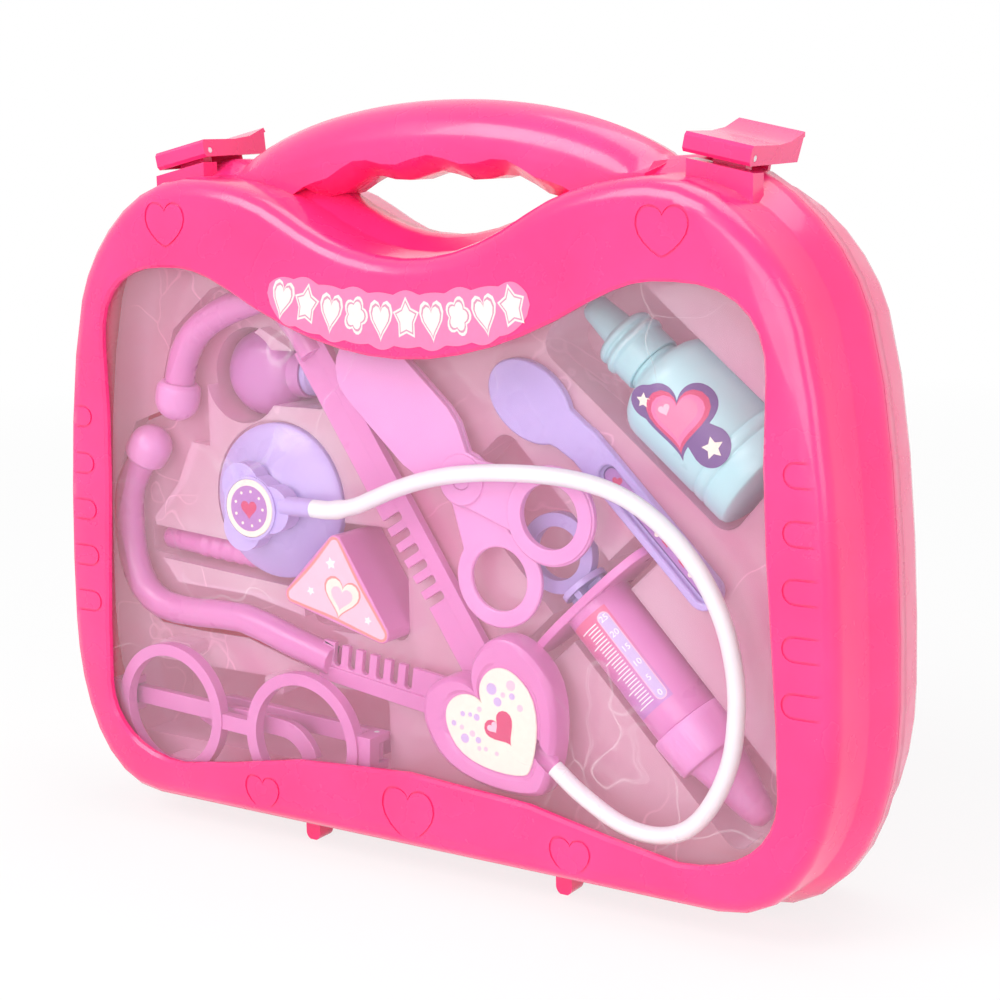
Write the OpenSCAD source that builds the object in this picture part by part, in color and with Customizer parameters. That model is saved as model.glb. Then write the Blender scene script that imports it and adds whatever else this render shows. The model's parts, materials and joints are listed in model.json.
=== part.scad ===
// Toy doctor case: a hinged carrying case with a window, a clear tray and toy instruments.
// Millimetres. +X right, +Z up, the window faces -Y. The shells part at y = 0 and the feet stand on z = 0.

/* [Case outline] */
// Half-width of the case body where it is widest
body_half_w = 141; // [139:0.5:144]
// Height above the body's bottom edge at which it is widest
widest_z = 58; // [54:1:62]
// Half-width of the straight bottom edge
bottom_half_w = 105; // [100:1:109]
// Half-width where the shoulder starts
shoulder_half_w = 130.4; // [129:0.2:133]
// Height at which the shoulder starts
shoulder_z = 167; // [164:1:170]
// Distance from the middle to the top of each lobe
lobe_x = 84; // [82:1:87]
// Height of the tops of the lobes
lobe_z = 206; // [204:0.5:209]
// Distance from the middle to the steep side of the dip
dip_x = 43; // [41:1:45]
// Height of the steep side of the dip
dip_side_z = 196; // [194:0.5:198]
// Height of the floor of the dip, under the handle
dip_z = 182.5; // [181:0.5:184]

/* [Case shells] */
// Depth of the closed case, front face to back face
case_depth = 64; // [62:0.5:72]
// Wall thickness of the shells
wall = 2.2; // [1.8:0.1:2.6]
// Radius of the rounded front and back edges
edge_r = 6; // [4:0.5:7]
// How far the rim where the shells meet stands out from the body
rim_out = 5.5; // [4.5:0.1:6]
// Depth of the sloping rim on the front shell
rim_front = 9.8; // [9:0.1:11]
// Depth of the square rim on the rear shell
rim_back = 5.8; // [5:0.1:6.6]
// Gap between the two closed shells
shell_gap = 0.3; // [0.2:0.05:0.6]
// Height of the body's bottom edge above the floor
foot_h = 9; // [8.5:0.1:10]
// Width of a foot
foot_w = 5.6; // [5:0.1:7]
// Length of a foot, front to back
foot_l = 7; // [5:0.5:9]
// Distance from the middle to each front foot
front_foot_x = 48; // [44:1:49]
// Distance from the middle to each rear foot
rear_foot_x = 57; // [56:1:64]

/* [Window] */
// Half-width of the window's upper part
window_half_w = 119.4; // [118:0.2:121]
// Half-width of the window where it bulges near the bottom
window_low_half_w = 123.8; // [122:0.2:125]
// Height of the window's upper corners
window_top_z = 178; // [176:0.5:179]
// Height of the window's top edge in the middle
window_mid_z = 152.8; // [151:0.2:155]
// Height of the window's bottom edge in the middle
window_sill_z = 25; // [24:0.5:27]
// Height of the window's bottom edge at its low corners
window_low_z = 13.4; // [12.6:0.2:15]
// Thickness of the window film
film_t = 0.5; // [0.3:0.1:0.8]
// Width of film glued behind the window's edge
film_lap = 4; // [3:0.5:5]
// Depth of the panel sunk into the back
back_recess = 1.4; // [0.8:0.1:1.8]

/* [Handle] */
// Height of the top of the handle
handle_top_z = 228.6; // [227:0.2:231]
// Distance from the middle to each foot of the handle
handle_foot_x = 77; // [75:0.5:78]
// Half-thickness of the handle, front to back
handle_half = 13.8; // [12.5:0.1:15]
// Height of the grip's underside in the middle
grip_z = 206.1; // [205:0.1:207.5]
// Spacing of the finger grooves
groove_pitch = 26.5; // [24:0.5:28]
// Depth of the finger grooves, from the mean line
groove_depth = 1.4; // [0.8:0.1:1.8]
// Wall thickness of the hollow handle
handle_wall = 2; // [1.6:0.1:2.4]

/* [Latches] */
// Distance from the middle to each latch
latch_x = 97.3; // [96.5:0.1:98.5]
// Width of a latch lever
latch_w = 21; // [19:0.5:22]
// Length of a latch lever
latch_l = 32; // [30:0.5:34]
// Depth of a latch lever's skirt
latch_skirt = 5.6; // [5.2:0.1:5.7]
// Slope of the levers, which follow the lobes
latch_tilt = 12; // [11:0.5:13]
// Height of the lever's top over the body's bottom edge, in its middle
latch_z = 215.8; // [215.6:0.1:217]
// Radius of the latch pin
latch_pin_r = 1; // [0.8:0.05:1.1]

/* [Hinges] */
// Distance from the middle to each hinge
hinge_x = 84; // [78:1:90]
// Radius of the hinge pin
hinge_pin_r = 1.1; // [0.9:0.05:1.3]
// Outer radius of the hinge knuckles
knuckle_r = 2.5; // [2.3:0.05:2.6]
// Length of the middle knuckle
knuckle_l = 12; // [8:0.5:16]
// Radial running clearance of the pins
pin_clear = 0.05; // [0.03:0.01:0.09]

/* [Tray] */
// Thickness of the clear tray
tray_t = 0.6; // [0.5:0.1:0.8]
// Depth of the tray's main sheet behind the front face
tray_d = 19.4; // [19.4:0.1:20.4]
// Clearance between a toy and the tray it lies in
seat = 0.3; // [0.2:0.05:0.45]

/* [Stethoscope] */
// Width of the heart-shaped hub
hub_w = 49; // [46:0.5:51]
// Height of the heart-shaped hub
hub_h = 47; // [44:0.5:48]
// Thickness of the hub
hub_t = 9.6; // [9:0.1:9.9]
// Outer radius of the white tube
tube_r = 2.7; // [2.4:0.05:2.8]
// Width of the flat part of a headset arm
arm_w = 13; // [11:0.5:14]
// Thickness of the flat part of a headset arm
arm_t = 3.2; // [2.6:0.1:3.6]
// Radius of the round part of a headset arm
ear_tube_r = 5; // [4.5:0.1:5.4]
// Radius of an ear tip
ear_tip_r = 7.4; // [6.5:0.1:8]
// Spacing of the flexing slots in the arms
slot_pitch = 5.6; // [5.2:0.1:6.2]
// Radius of the chest bell
bell_r = 25.5; // [24:0.5:26]
// Radius of the round face of the chest knob
knob_face_r = 10.4; // [9.5:0.1:11]

/* [Instruments] */
// Radius of the finger holes of the scissors
finger_r = 9.8; // [9:0.1:10.4]
// Width of the rings of the scissors
finger_ring = 5.2; // [4.2:0.1:5.4]
// Length of the scissor blades from the pivot
blade_l = 60; // [50:1:61]
// Width of the scissor blades
blade_w = 25; // [21:0.5:26]
// Thickness of one scissor half
blade_t = 1.9; // [1.7:0.05:1.95]
// Radius of the bottle
bottle_r = 17.5; // [16:0.25:18]
// Length of the bottle's body to its neck
bottle_l = 48; // [44:1:50]
// Outer radius of the syringe barrel
barrel_r = 10.8; // [10:0.1:11.2]
// Wall thickness of the syringe barrel
barrel_wall = 1.3; // [1.1:0.1:1.6]
// Length of the syringe barrel
barrel_l = 46; // [42:0.5:46]
// Length of the syringe's finger flange
flange_l = 52; // [48:0.5:52]
// Travel of the plunger from its pushed-in place
plunger_travel = 24; // [10:1:26]
// Outer radius of a spectacle rim
rim_r = 22.6; // [21.5:0.1:22.8]
// Width of a spectacle rim
rim_w = 4; // [3.2:0.1:4.6]
// Length of a spectacle temple, hinge to hook
temple_l = 66; // [56:1:70]
// Length of the tongue depressor's handle
spatula_l = 66; // [60:1:68]
// Width of the tongue depressor's handle
spatula_w = 11.5; // [10:0.25:12]
// Thickness of the tongue depressor
spatula_t = 3.4; // [2.6:0.1:4]
// Thickness of the reflex hammer's head
hammer_t = 22; // [18:0.5:23]
// Radius of the reflex hammer's handle
hammer_handle_r = 4; // [3.2:0.1:4.4]
// Radius of the ear scope's head
scope_r = 14.5; // [12:0.5:15]

/* [Hidden] */
$fn = 48;

PINK = [1, 0.27, 0.56];
ORCHID = [0.93, 0.53, 0.80];
ROSE = [0.96, 0.70, 0.87];
LILAC = [0.75, 0.65, 0.90];
AQUA = [0.72, 0.88, 0.90];
WHITE = [0.97, 0.96, 0.95];
CREAM = [0.98, 0.90, 0.87];
CLEAR = [0.9, 0.88, 0.9, 0.35];

half_depth = case_depth / 2;
half_gap = shell_gap / 2;
// y of a plane that lies d behind the front face
function deep(d) = d - half_depth;

// ---- curves -------------------------------------------------------------------------------

function bez(a, b, c, d, t) =
    a * pow(1 - t, 3) + b * 3 * t * pow(1 - t, 2) + c * 3 * t * t * (1 - t) + d * pow(t, 3);
function bez_run(k, n) = [for (i = [0 : n - 1]) bez(k[0], k[1], k[2], k[3], i / n)];
// Half of a closed outline, from bottom middle to top middle, made of Bezier runs
function half_run(runs, counts) =
    concat([for (r = [0 : len(runs) - 1]) each bez_run(runs[r], counts[r])], [runs[len(runs) - 1][3]]);
// The whole outline, the half and its mirror image
function whole(h) = concat(h, [for (i = [len(h) - 2 : -1 : 1]) [-h[i][0], h[i][1]]]);
function unit(v) = v / norm(v);
// Outward normals of a closed outline that runs anticlockwise
function normals(p) = [
    for (i = [0 : len(p) - 1])
        let (d = unit(p[(i + 1) % len(p)] - p[(i + len(p) - 1) % len(p)])) [d[1], -d[0]]
];
// A closed outline moved outwards by a distance
function grown(p, out) = let (n = normals(p)) [for (i = [0 : len(p) - 1]) p[i] + out * n[i]];
// Points of an arc
function arc(c, r, a0, a1, n) = [for (i = [0 : n]) c + r * [cos(a0 + (a1 - a0) * i / n), sin(a0 + (a1 - a0) * i / n)]];
// A rectangle with round corners, centred
function round_rect(w, h, r) = concat(
    arc([w / 2 - r, h / 2 - r], r, 0, 90, 6), arc([r - w / 2, h / 2 - r], r, 90, 180, 6),
    arc([r - w / 2, r - h / 2], r, 180, 270, 6), arc([w / 2 - r, r - h / 2], r, 270, 360, 6));
function ellipse(rx, ry, n) = [for (i = [0 : n - 1]) [rx * cos(360 * i / n), ry * sin(360 * i / n)]];
function placed(p, x, z, a) = [for (q = p) [x + q[0] * cos(a) - q[1] * sin(a), z + q[0] * sin(a) + q[1] * cos(a)]];
// A plump heart, point down, centred on its own box
function heart(w, h, n) = whole(half_run([
    [[0, -h / 2], [w * 0.09, -h * 0.5], [w * 0.50, -h * 0.16], [w / 2, h * 0.13]],
    [[w / 2, h * 0.13], [w / 2, h * 0.38], [w * 0.38, h / 2], [w * 0.25, h / 2]],
    [[w * 0.25, h / 2], [w * 0.13, h / 2], [w * 0.03, h * 0.43], [0, h * 0.31]]
], [n, n, n]));

// The body's outline and the window's, point for point
body_runs = [
    [[0, 0], [bottom_half_w / 3, 0], [bottom_half_w * 2 / 3, 0], [bottom_half_w, 0]],
    [[bottom_half_w, 0], [bottom_half_w + 26, 0], [body_half_w, widest_z - 28], [body_half_w, widest_z]],
    [[body_half_w, widest_z], [body_half_w, widest_z + 30],
        [shoulder_half_w + 8, shoulder_z - 26], [shoulder_half_w, shoulder_z]],
    [[shoulder_half_w, shoulder_z], [shoulder_half_w - 5.5, shoulder_z + 18],
        [lobe_x + 22, lobe_z], [lobe_x, lobe_z]],
    [[lobe_x, lobe_z], [lobe_x - 16, lobe_z], [dip_x + 10, dip_side_z + 6.1], [dip_x, dip_side_z]],
    [[dip_x, dip_side_z], [dip_x - 13, dip_side_z - 8], [16, dip_z], [0, dip_z]]
];
window_peak = [54, 166];
window_runs = [
    [[0, window_sill_z], [54, window_sill_z], [71, window_low_z + 1], [93, window_low_z]],
    [[93, window_low_z], [112, window_low_z], [window_low_half_w, 24], [window_low_half_w, 37.3]],
    [[window_low_half_w, 37.3], [window_low_half_w, 70],
        [window_half_w - 2.4, 115], [window_half_w, 152]],
    [[window_half_w, 152], [window_half_w + 0.6, 169], [110, window_top_z], [92, window_top_z]],
    [[92, window_top_z], [79, window_top_z + 0.4], [75, window_top_z - 1], window_peak],
    [window_peak, [36, 157.5], [18, window_mid_z], [0, window_mid_z]]
];
run_counts = [3, 8, 5, 7, 5, 5];
body_line = whole(half_run(body_runs, run_counts));
window_line = whole(half_run(window_runs, run_counts));
body_norm = normals(body_line);
// Height of the top of the body's outline at a distance x from the middle
top_table = [for (i = [len(body_line) / 2 : -1 : 0]) if (body_line[i][1] > 150) body_line[i]];
function top_z(x) = lookup(abs(x), top_table);
// Height of the top edge at x of the rim that stands out from the body
function rim_top_z(x) = lookup(abs(x), grown(body_line, rim_out));

// ---- skins --------------------------------------------------------------------------------

// A loop round the body: the outline moved outwards, at one depth
function body_loop(out, y) = [
    for (i = [0 : len(body_line) - 1])
        let (p = body_line[i] + out * body_norm[i]) [p[0], y, p[1] + foot_h]
];
window_norm = normals(window_line);
function window_loop(out, y) = [
    for (i = [0 : len(window_line) - 1])
        let (p = window_line[i] + out * window_norm[i]) [p[0], y, p[1] + foot_h]
];
function quads(n, m, shut) = [
    for (j = [0 : (shut ? m - 1 : m - 2)])
        for (i = [0 : n - 1])
            let (a = j * n + i, b = j * n + (i + 1) % n, c = ((j + 1) % m) * n + (i + 1) % n, d = ((j + 1) % m) * n + i)
                each [[a, b, c], [a, c, d]]
];
// A surface through loops of equal length, closed round into a ring
module ring_skin(loops) {
    polyhedron([for (l = loops) each l], quads(len(loops[0]), len(loops), true), convexity = 8);
}
// A surface through loops of equal length, closed by a flat face at each end
module tube_skin(loops) {
    n = len(loops[0]);
    m = len(loops);
    polyhedron([for (l = loops) each l], concat(quads(n, m, false),
        [[for (i = [n - 1 : -1 : 0]) i], [for (i = [0 : n - 1]) (m - 1) * n + i]]), convexity = 8);
}

// Places flat work, drawn with its back on z = 0, upright at a depth behind the front face
module lay(x, z, back_d, turn) {
    translate([x, deep(back_d), z + foot_h]) rotate([90, 0, 0]) rotate([0, 0, turn]) children();
}
// Places a turned piece so that its axis, drawn as z, points along an angle in the case's plane
module lean(x, z, axis_d, a) {
    translate([x, deep(axis_d), z + foot_h]) rotate([0, 90 - a, 0]) children();
}
// A plate cut to an outline of the case, from one depth to another
module slab(line, y0, y1) {
    translate([0, y1, foot_h]) rotate([90, 0, 0]) linear_extrude(y1 - y0) polygon(line);
}

// ---- shells -------------------------------------------------------------------------------

front_loops = [
    window_loop(0, wall + 0.2 - half_depth),
    window_loop(0, 0.9 - half_depth),
    window_loop(0.9, -half_depth),
    body_loop(-edge_r, -half_depth),
    body_loop(-edge_r * 0.5, edge_r * 0.134 - half_depth),
    body_loop(-edge_r * 0.134, edge_r * 0.5 - half_depth),
    body_loop(0, edge_r - half_depth),
    body_loop(0.5, -rim_front - 0.9),
    body_loop(1, -rim_front),
    body_loop(rim_out - 1, -4),
    body_loop(rim_out, -1.6),
    body_loop(rim_out, -half_gap),
    body_loop(rim_out - wall, -half_gap),
    body_loop(rim_out - wall - 0.9, -3.6),
    body_loop(0.6 - wall, -rim_front - 0.9),
    body_loop(-wall, edge_r - half_depth),
    body_loop(-edge_r, wall + 0.2 - half_depth)
];
rear_loops = [
    window_loop(0, half_depth - back_recess),
    window_loop(1.2, half_depth),
    body_loop(-edge_r, half_depth),
    body_loop(-edge_r * 0.5, half_depth - edge_r * 0.134),
    body_loop(-edge_r * 0.134, half_depth - edge_r * 0.5),
    body_loop(0, half_depth - edge_r),
    body_loop(1, rim_back + 1.4),
    body_loop(rim_out - 0.6, rim_back),
    body_loop(rim_out, rim_back - 1),
    body_loop(rim_out, half_gap),
    body_loop(rim_out - wall, half_gap),
    body_loop(rim_out - wall - 0.9, 3.6),
    body_loop(0.6 - wall, rim_front + 0.9),
    body_loop(-wall, half_depth - edge_r),
    body_loop(-edge_r, half_depth - wall - 0.2),
    window_loop(0, half_depth - wall - back_recess)
];

// ---- handle -------------------------------------------------------------------------------

handle_run = [[0, handle_top_z], [34, handle_top_z], [handle_foot_x - 17, handle_top_z - 7.1],
    [handle_foot_x, rim_top_z(handle_foot_x) - 0.4]];
handle_steps = 17;
handle_half_run = [for (i = [0 : handle_steps]) bez(handle_run[0], handle_run[1], handle_run[2], handle_run[3],
    i / handle_steps)];
handle_line = concat([for (i = [handle_steps : -1 : 1]) [-handle_half_run[i][0], handle_half_run[i][1]]],
    handle_half_run);
// Underside of the grip: an arch with a wave of finger grooves
function grip(x) = grip_z - 4.2 * pow(abs(x) / 38, 3)
    + groove_depth * cos(360 * x / groove_pitch) * max(0, min(1, (46 - abs(x)) / 6));
// One cross-section of the front half of the handle, a channel open towards the rear half
function handle_section(p) =
    let (x = p[0], t = p[1], o = top_z(x), u = grip(x), lip = max(u + 4.8, o - 0.8), h = t - lip,
        mid = min(max(u, o + 1.9), t - h * 0.54), low = min(max(u, o + 4.2), t - h * 0.3), y = -handle_half,
        side = t - min(12, h * 0.76), turn = t - min(7, h * 0.7), w = min(handle_wall, h * h * 0.009 + 0.15))
    [for (v = [
        [-half_gap, t], [-4, t - 0.6], [-8.5, t - 2.8], [y + 1.6, turn], [y, side], [y, lip], [-6, mid], [-half_gap, low],
        [-half_gap, low + w], [-5.6, mid + w], [y + w, lip + w], [y + w, side - w * 0.6],
        [y + 1.6 + w * 0.7, turn - w], [-8.2, t - 2.8 - w], [-3.8, t - 0.6 - w], [-half_gap, t - w]
    ]) [x, v[0], v[1] + foot_h]];
// The last section at each end, sunk in the rim so that the handle grows out of it
function handle_tip(x) = let (o = top_z(x)) [for (v = [
        [-half_gap, 4.9], [-1, 4.8], [-2, 4.6], [-3, 4.4], [-3.6, 4.2], [-3.6, 2.9], [-2, 3.2], [-half_gap, 3.7],
        [-half_gap, 4.1], [-2, 3.6], [-3.2, 3.3], [-3.2, 3.9], [-2.8, 4.1], [-1.9, 4.3], [-1, 4.45], [-half_gap, 4.5]
    ]) [x, v[0], o + v[1] + foot_h]];
// The front half of the handle, or for side -1 the rear half
module handle_shell(side) {
    n = len(handle_line) - 1;
    loops = [for (i = [0 : n]) i == 0 || i == n ? handle_tip(handle_line[i][0]) : handle_section(handle_line[i])];
    tube_skin([for (i = [0 : n]) [for (q = loops[side > 0 ? n - i : i]) [q[0], side * q[1], q[2]]]]);
}

// ---- latches ------------------------------------------------------------------------------

latch_front_d = 17.2;
latch_plate = 1.5;
latch_side = 1.1;
latch_pivot = [3.1, -3.5];
latch_eye_r = 1.7;
latch_swing_r = 3.5;
latch_eye_l = 10;
latch_hook_d = half_depth + rim_back + 1.5;
// Puts a latch part, drawn for a level lever with its front top edge on the x axis, in its place
module at_latch(side) {
    translate([side * latch_x, deep(latch_front_d), latch_z + foot_h]) rotate([0, side * latch_tilt, 0]) children();
}
// Extrudes an outline in the lever's (y, z) plane across a width
module across(w) {
    rotate([90, 0, 90]) translate([0, 0, -w / 2]) linear_extrude(w) children();
}
module latch_lever() {
    tail = latch_l;
    hook_y = latch_hook_d - latch_front_d;
    difference() {
        union() {
            across(latch_w) polygon([
                [0, -1], [0.8, 0], [tail * 0.5, 0], [tail * 0.75, 0.9], [tail, 3.6], [tail + 0.6, 2.2],
                [tail * 0.77, -0.7], [tail * 0.52, -latch_plate], [latch_side, -latch_plate],
                [latch_side, -latch_skirt], [0.9, -latch_skirt], [0, 1 - latch_skirt]
            ]);
            for (s = [-1, 1])
                translate([s * (latch_w - latch_side) / 2, 0, 0]) across(latch_side) polygon([
                    [0, -1], [0.8, 0], [tail * 0.5, 0], [tail * 0.75, 0.9], [tail, 3.6],
                    [tail - 1.2, 0.6 - latch_skirt], [0.9, -latch_skirt], [0, 1 - latch_skirt]
                ]);
            across(12) polygon([
                [hook_y, -0.1], [hook_y + 1.6, -0.1], [hook_y + 1.6, -9.2], [hook_y + 0.4, -9.4], [hook_y, -8.4]
            ]);
        }
        translate([0, latch_pivot[0], latch_pivot[1]]) rotate([0, 90, 0])
            cylinder(h = latch_w + 2, r = latch_pin_r + 0.02, center = true);
    }
}
module latch_pin() {
    translate([0, latch_pivot[0], latch_pivot[1]]) rotate([0, 90, 0])
        cylinder(h = latch_w, r = latch_pin_r, center = true);
}
// The block and eye that carry one lever, grown out of the front shell's shoulder
module latch_stand(side) {
    back = deep(latch_front_d) + latch_pivot[0] + latch_swing_r + 0.3;
    x0 = latch_x - latch_w / 2 + 0.3;
    step = (latch_w - 0.6) / 5;
    xs = [for (i = [0 : 5]) x0 + i * step];
    block_top = latch_pivot[1] - latch_swing_r - 0.1;
    function lever_z(x, drop) = latch_z - (x - latch_x) * tan(latch_tilt) + drop / cos(latch_tilt);
    mirror([side < 0 ? 1 : 0, 0, 0]) {
        translate([0, back, foot_h]) rotate([90, 0, 0]) linear_extrude(latch_pivot[0] + latch_swing_r)
            polygon(concat([for (x = xs) [x, top_z(x) - 0.9]],
                [for (i = [5 : -1 : 0]) [xs[i], lever_z(xs[i], block_top)]]));
        translate([0, -4.6, foot_h]) rotate([90, 0, 0]) linear_extrude(-4.6 - back + 0.4)
            polygon(concat([for (x = [latch_x - latch_eye_l / 2, latch_x, latch_x + latch_eye_l / 2]) [x, top_z(x) + 0.4]],
                [[latch_x + latch_eye_l / 2, lever_z(latch_x + latch_eye_l / 2, -2.2)],
                [latch_x - latch_eye_l / 2, lever_z(latch_x - latch_eye_l / 2, -2.2)]]));
    }
    at_latch(side) difference() {
        union() {
            translate([0, latch_pivot[0], latch_pivot[1]]) rotate([0, 90, 0])
                cylinder(h = latch_eye_l, r = latch_eye_r, center = true);
            across(latch_eye_l) polygon([
                [latch_pivot[0], -latch_pivot[1] * -1 - 1.1], [latch_pivot[0] + latch_swing_r + 1.6, latch_pivot[1] - 1.1],
                [latch_pivot[0] + latch_swing_r + 1.6, latch_pivot[1] + 1.3], [latch_pivot[0], latch_pivot[1] + 1.3]
            ]);
        }
        translate([0, latch_pivot[0], latch_pivot[1]]) rotate([0, 90, 0])
            cylinder(h = latch_eye_l + 1, r = latch_pin_r + pin_clear, center = true);
    }
}

// ---- hinges and feet ----------------------------------------------------------------------

hinge_z = foot_h - rim_out - 0.6;
knuckle_gap = 0.3;
side_knuckle_l = 8;
hinge_pin_l = knuckle_l + 2 * (knuckle_gap + side_knuckle_l);
module x_rod(x, l, r) {
    translate([x, 0, hinge_z]) rotate([0, 90, 0]) cylinder(h = l, r = r, center = true);
}
// The middle knuckles belong to the front shell
module middle_knuckles(r, extra) {
    for (s = [-1, 1])
        x_rod(s * hinge_x, knuckle_l + extra, r);
}
// The outer knuckles belong to the rear shell
module outer_knuckles(r, extra) {
    for (s = [-1, 1])
        for (t = [-1, 1])
            x_rod(s * hinge_x + t * (knuckle_l / 2 + knuckle_gap + side_knuckle_l / 2), side_knuckle_l + extra, r);
}
module hinge_bores() {
    for (s = [-1, 1])
        x_rod(s * hinge_x, hinge_pin_l + 2, hinge_pin_r + pin_clear);
}
// A foot under the body, round below and flat where it stands
module foot(x, y) {
    r = foot_w / 2;
    translate([x, y + foot_l / 2, 0]) rotate([90, 0, 0]) intersection() {
        union() {
            translate([0, r - 0.3, 0]) cylinder(h = foot_l, r = r);
            translate([-r, r - 0.3, 0]) cube([foot_w, foot_h - r + 0.9, foot_l]);
        }
        translate([-foot_w, 0, -1]) cube([2 * foot_w, foot_h + 0.6, foot_l + 2]);
    }
}
foot_y = 15.5;

// ---- engraved hearts and side grips --------------------------------------------------------

engrave = 0.5;
engrave_w = 0.7;
module engraved_heart(x, z, w, h) {
    translate([x, engrave - half_depth, z + foot_h]) rotate([90, 0, 0]) linear_extrude(engrave + 1) difference() {
        polygon(heart(w, h, 5));
        polygon(heart(w - 2 * engrave_w, h - 2 * engrave_w, 5));
    }
}
grip_pitch = 15.75;
grip_w = 7.5;
grip_inner_x = 125;
// U-shaped grooves that open towards the side edge
module side_grip(side, z) {
    outer = 16;
    translate([side * grip_inner_x, engrave - half_depth, z + foot_h]) rotate([90, 0, 0]) mirror([side < 0 ? 1 : 0, 0])
        linear_extrude(engrave + 1) difference() {
            polygon(concat(arc([grip_w / 2, 0], grip_w / 2, 90, 270, 8), [[outer, -grip_w / 2], [outer, grip_w / 2]]));
            polygon(concat(arc([grip_w / 2, 0], grip_w / 2 - engrave_w, 90, 270, 8),
                [[outer + 1, engrave_w - grip_w / 2], [outer + 1, grip_w / 2 - engrave_w]]));
        }
}
module engravings() {
    for (s = [-1, 1]) {
        engraved_heart(s * 89, 191.5, 16.8, 14.4);
        engraved_heart(s * 58, 8.6, 14.4, 12.6);
        for (i = [-2 : 2])
            side_grip(s, 96.5 + i * grip_pitch);
    }
    engraved_heart(0, 11.5, 20, 17.5);
}

module front_shell() {
    color(PINK) difference() {
        union() {
            ring_skin(front_loops);
            handle_shell(1);
            group() {
                latch_stand(-1);
                latch_stand(1);
                foot(-front_foot_x, -foot_y);
                foot(front_foot_x, -foot_y);
                middle_knuckles(knuckle_r, 0);
            }
        }
        group() {
            outer_knuckles(knuckle_r + 0.25, 2 * knuckle_gap);
            hinge_bores();
            engravings();
        }
    }
}

module rear_shell() {
    color(PINK) difference() {
        union() {
            tube_skin([for (i = [len(rear_loops) - 1 : -1 : 0]) rear_loops[i]]);
            handle_shell(-1);
            group() {
                foot(-rear_foot_x, foot_y);
                foot(rear_foot_x, foot_y);
                outer_knuckles(knuckle_r, 0);
            }
        }
        group() {
            middle_knuckles(knuckle_r + 0.25, 2 * knuckle_gap);
            hinge_bores();
        }
    }
}

module hinge_pin(side) {
    color(WHITE) x_rod(side * hinge_x, hinge_pin_l - 0.6, hinge_pin_r);
}
module hinge_pin_left() {
    hinge_pin(-1);
}
module hinge_pin_right() {
    hinge_pin(1);
}
module latch_left() {
    color(PINK) at_latch(-1) latch_lever();
}
module latch_right() {
    color(PINK) at_latch(1) latch_lever();
}
module latch_pin_left() {
    color(WHITE) at_latch(-1) latch_pin();
}
module latch_pin_right() {
    color(WHITE) at_latch(1) latch_pin();
}

module window_film() {
    color(CLEAR) slab(grown(window_line, film_lap), deep(wall + 0.2), deep(wall + 0.2 + film_t));
}

// ---- places of the instruments -------------------------------------------------------------

tube_d = 6.2;
hub_x = 30.6;
hub_z = 42.4;
hub_turn = 38;
hub_back_d = 14.1;
arm_back_d = hub_back_d + arm_t;
ear_d = 17;
chest_x = -62;
chest_z = 102;
knob_back_d = 10.4;
bell_back_d = 21.6;
scissors_x = 15.8;
scissors_z = 116.5;
scissors_turn = 47.5;
scissors_back_d = 13.9;
spatula_x = 36;
spatula_z = 140.5;
spatula_turn = -45;
spatula_back_d = tray_d - seat;
bottle_x = 109;
bottle_z = 121;
bottle_d = 26;
bottle_a = 140;
syringe_x = 54;
syringe_z = 82.5;
syringe_d = 22;
syringe_a = -46.5;
glasses_x = -74.7;
glasses_z = 27.6;
glasses_back_d = 10.5;
lens_gap = 56;
hammer_back_d = 30;
hammer_handle_d = 26.6;

// ---- stethoscope ---------------------------------------------------------------------------

function heart_loop(k, z) = [for (p = heart(hub_w * k, hub_h * k, 8)) [p[0], p[1], z]];
plate_k = 0.68;
tube_end = [53.6, 29.8];
tube_way = unit([-0.77, 0.64]);
module stethoscope_hub() {
    color(ORCHID) difference() {
        lay(hub_x, hub_z, hub_back_d, hub_turn) tube_skin([
            heart_loop(0.98, 0), heart_loop(1, 0.6), heart_loop(1, hub_t - 2.6), heart_loop(0.985, hub_t - 1.2),
            heart_loop(0.92, hub_t), heart_loop(0.76, hub_t - 0.2), heart_loop(0.72, hub_t - 1)
        ]);
        translate([tube_end[0], deep(tube_d), tube_end[1] + foot_h])
            rotate([0, -atan2(tube_way[0], tube_way[1]) * -1, 0]) cylinder(h = 30, r = tube_r + 0.05, center = true);
    }
}
module hub_plate() {
    color(CREAM) lay(hub_x, hub_z, hub_back_d - hub_t + 1, hub_turn)
        linear_extrude(0.7) polygon(heart(hub_w * plate_k, hub_h * plate_k, 8));
}

// A headset arm's flat part, along x from its root, with flexing slots on its lower edge
arm_lap = 11;
slot_count = 6;
slot_l = 7.5;
module flat_arm(l, flip) {
    mirror([0, flip ? 1 : 0, 0]) difference() {
        union() {
            translate([-arm_lap, -arm_w / 2, 0]) cube([l + arm_lap, arm_w - 4, arm_t - 1]);
            translate([-arm_lap, arm_w / 2 - 5, 0]) cube([l + arm_lap, 5, arm_t]);
        }
        for (i = [0 : slot_count - 1])
            translate([16 + i * slot_pitch, 0, -1]) {
                translate([0, slot_l - arm_w / 2 - 1.4, 0]) cylinder(h = arm_t + 2, r = 1.4);
                translate([-1.4, -arm_w / 2 - 1, 0]) cube([2.8, slot_l - 0.4, arm_t + 2]);
            }
    }
}
// A round rod through points [x, depth, z], its rings square to its run
function way(p, i) = unit(p[min(i + 1, len(p) - 1)] - p[max(i - 1, 0)]);
function rod_ring(p, i, r, n) =
    let (w = way(p, i), u = unit(cross(w, [0, 1, 0])), v = cross(u, w))
    [for (k = [0 : n - 1]) p[i] + r * (u * cos(360 * k / n) + v * sin(360 * k / n))];
function case_points(list) = [for (q = list) [q[0], deep(q[1]), q[2] + foot_h]];
module rod(list, r, n) {
    p = case_points(list);
    tube_skin([for (i = [0 : len(p) - 1]) rod_ring(p, i, r, n)]);
}
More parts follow.
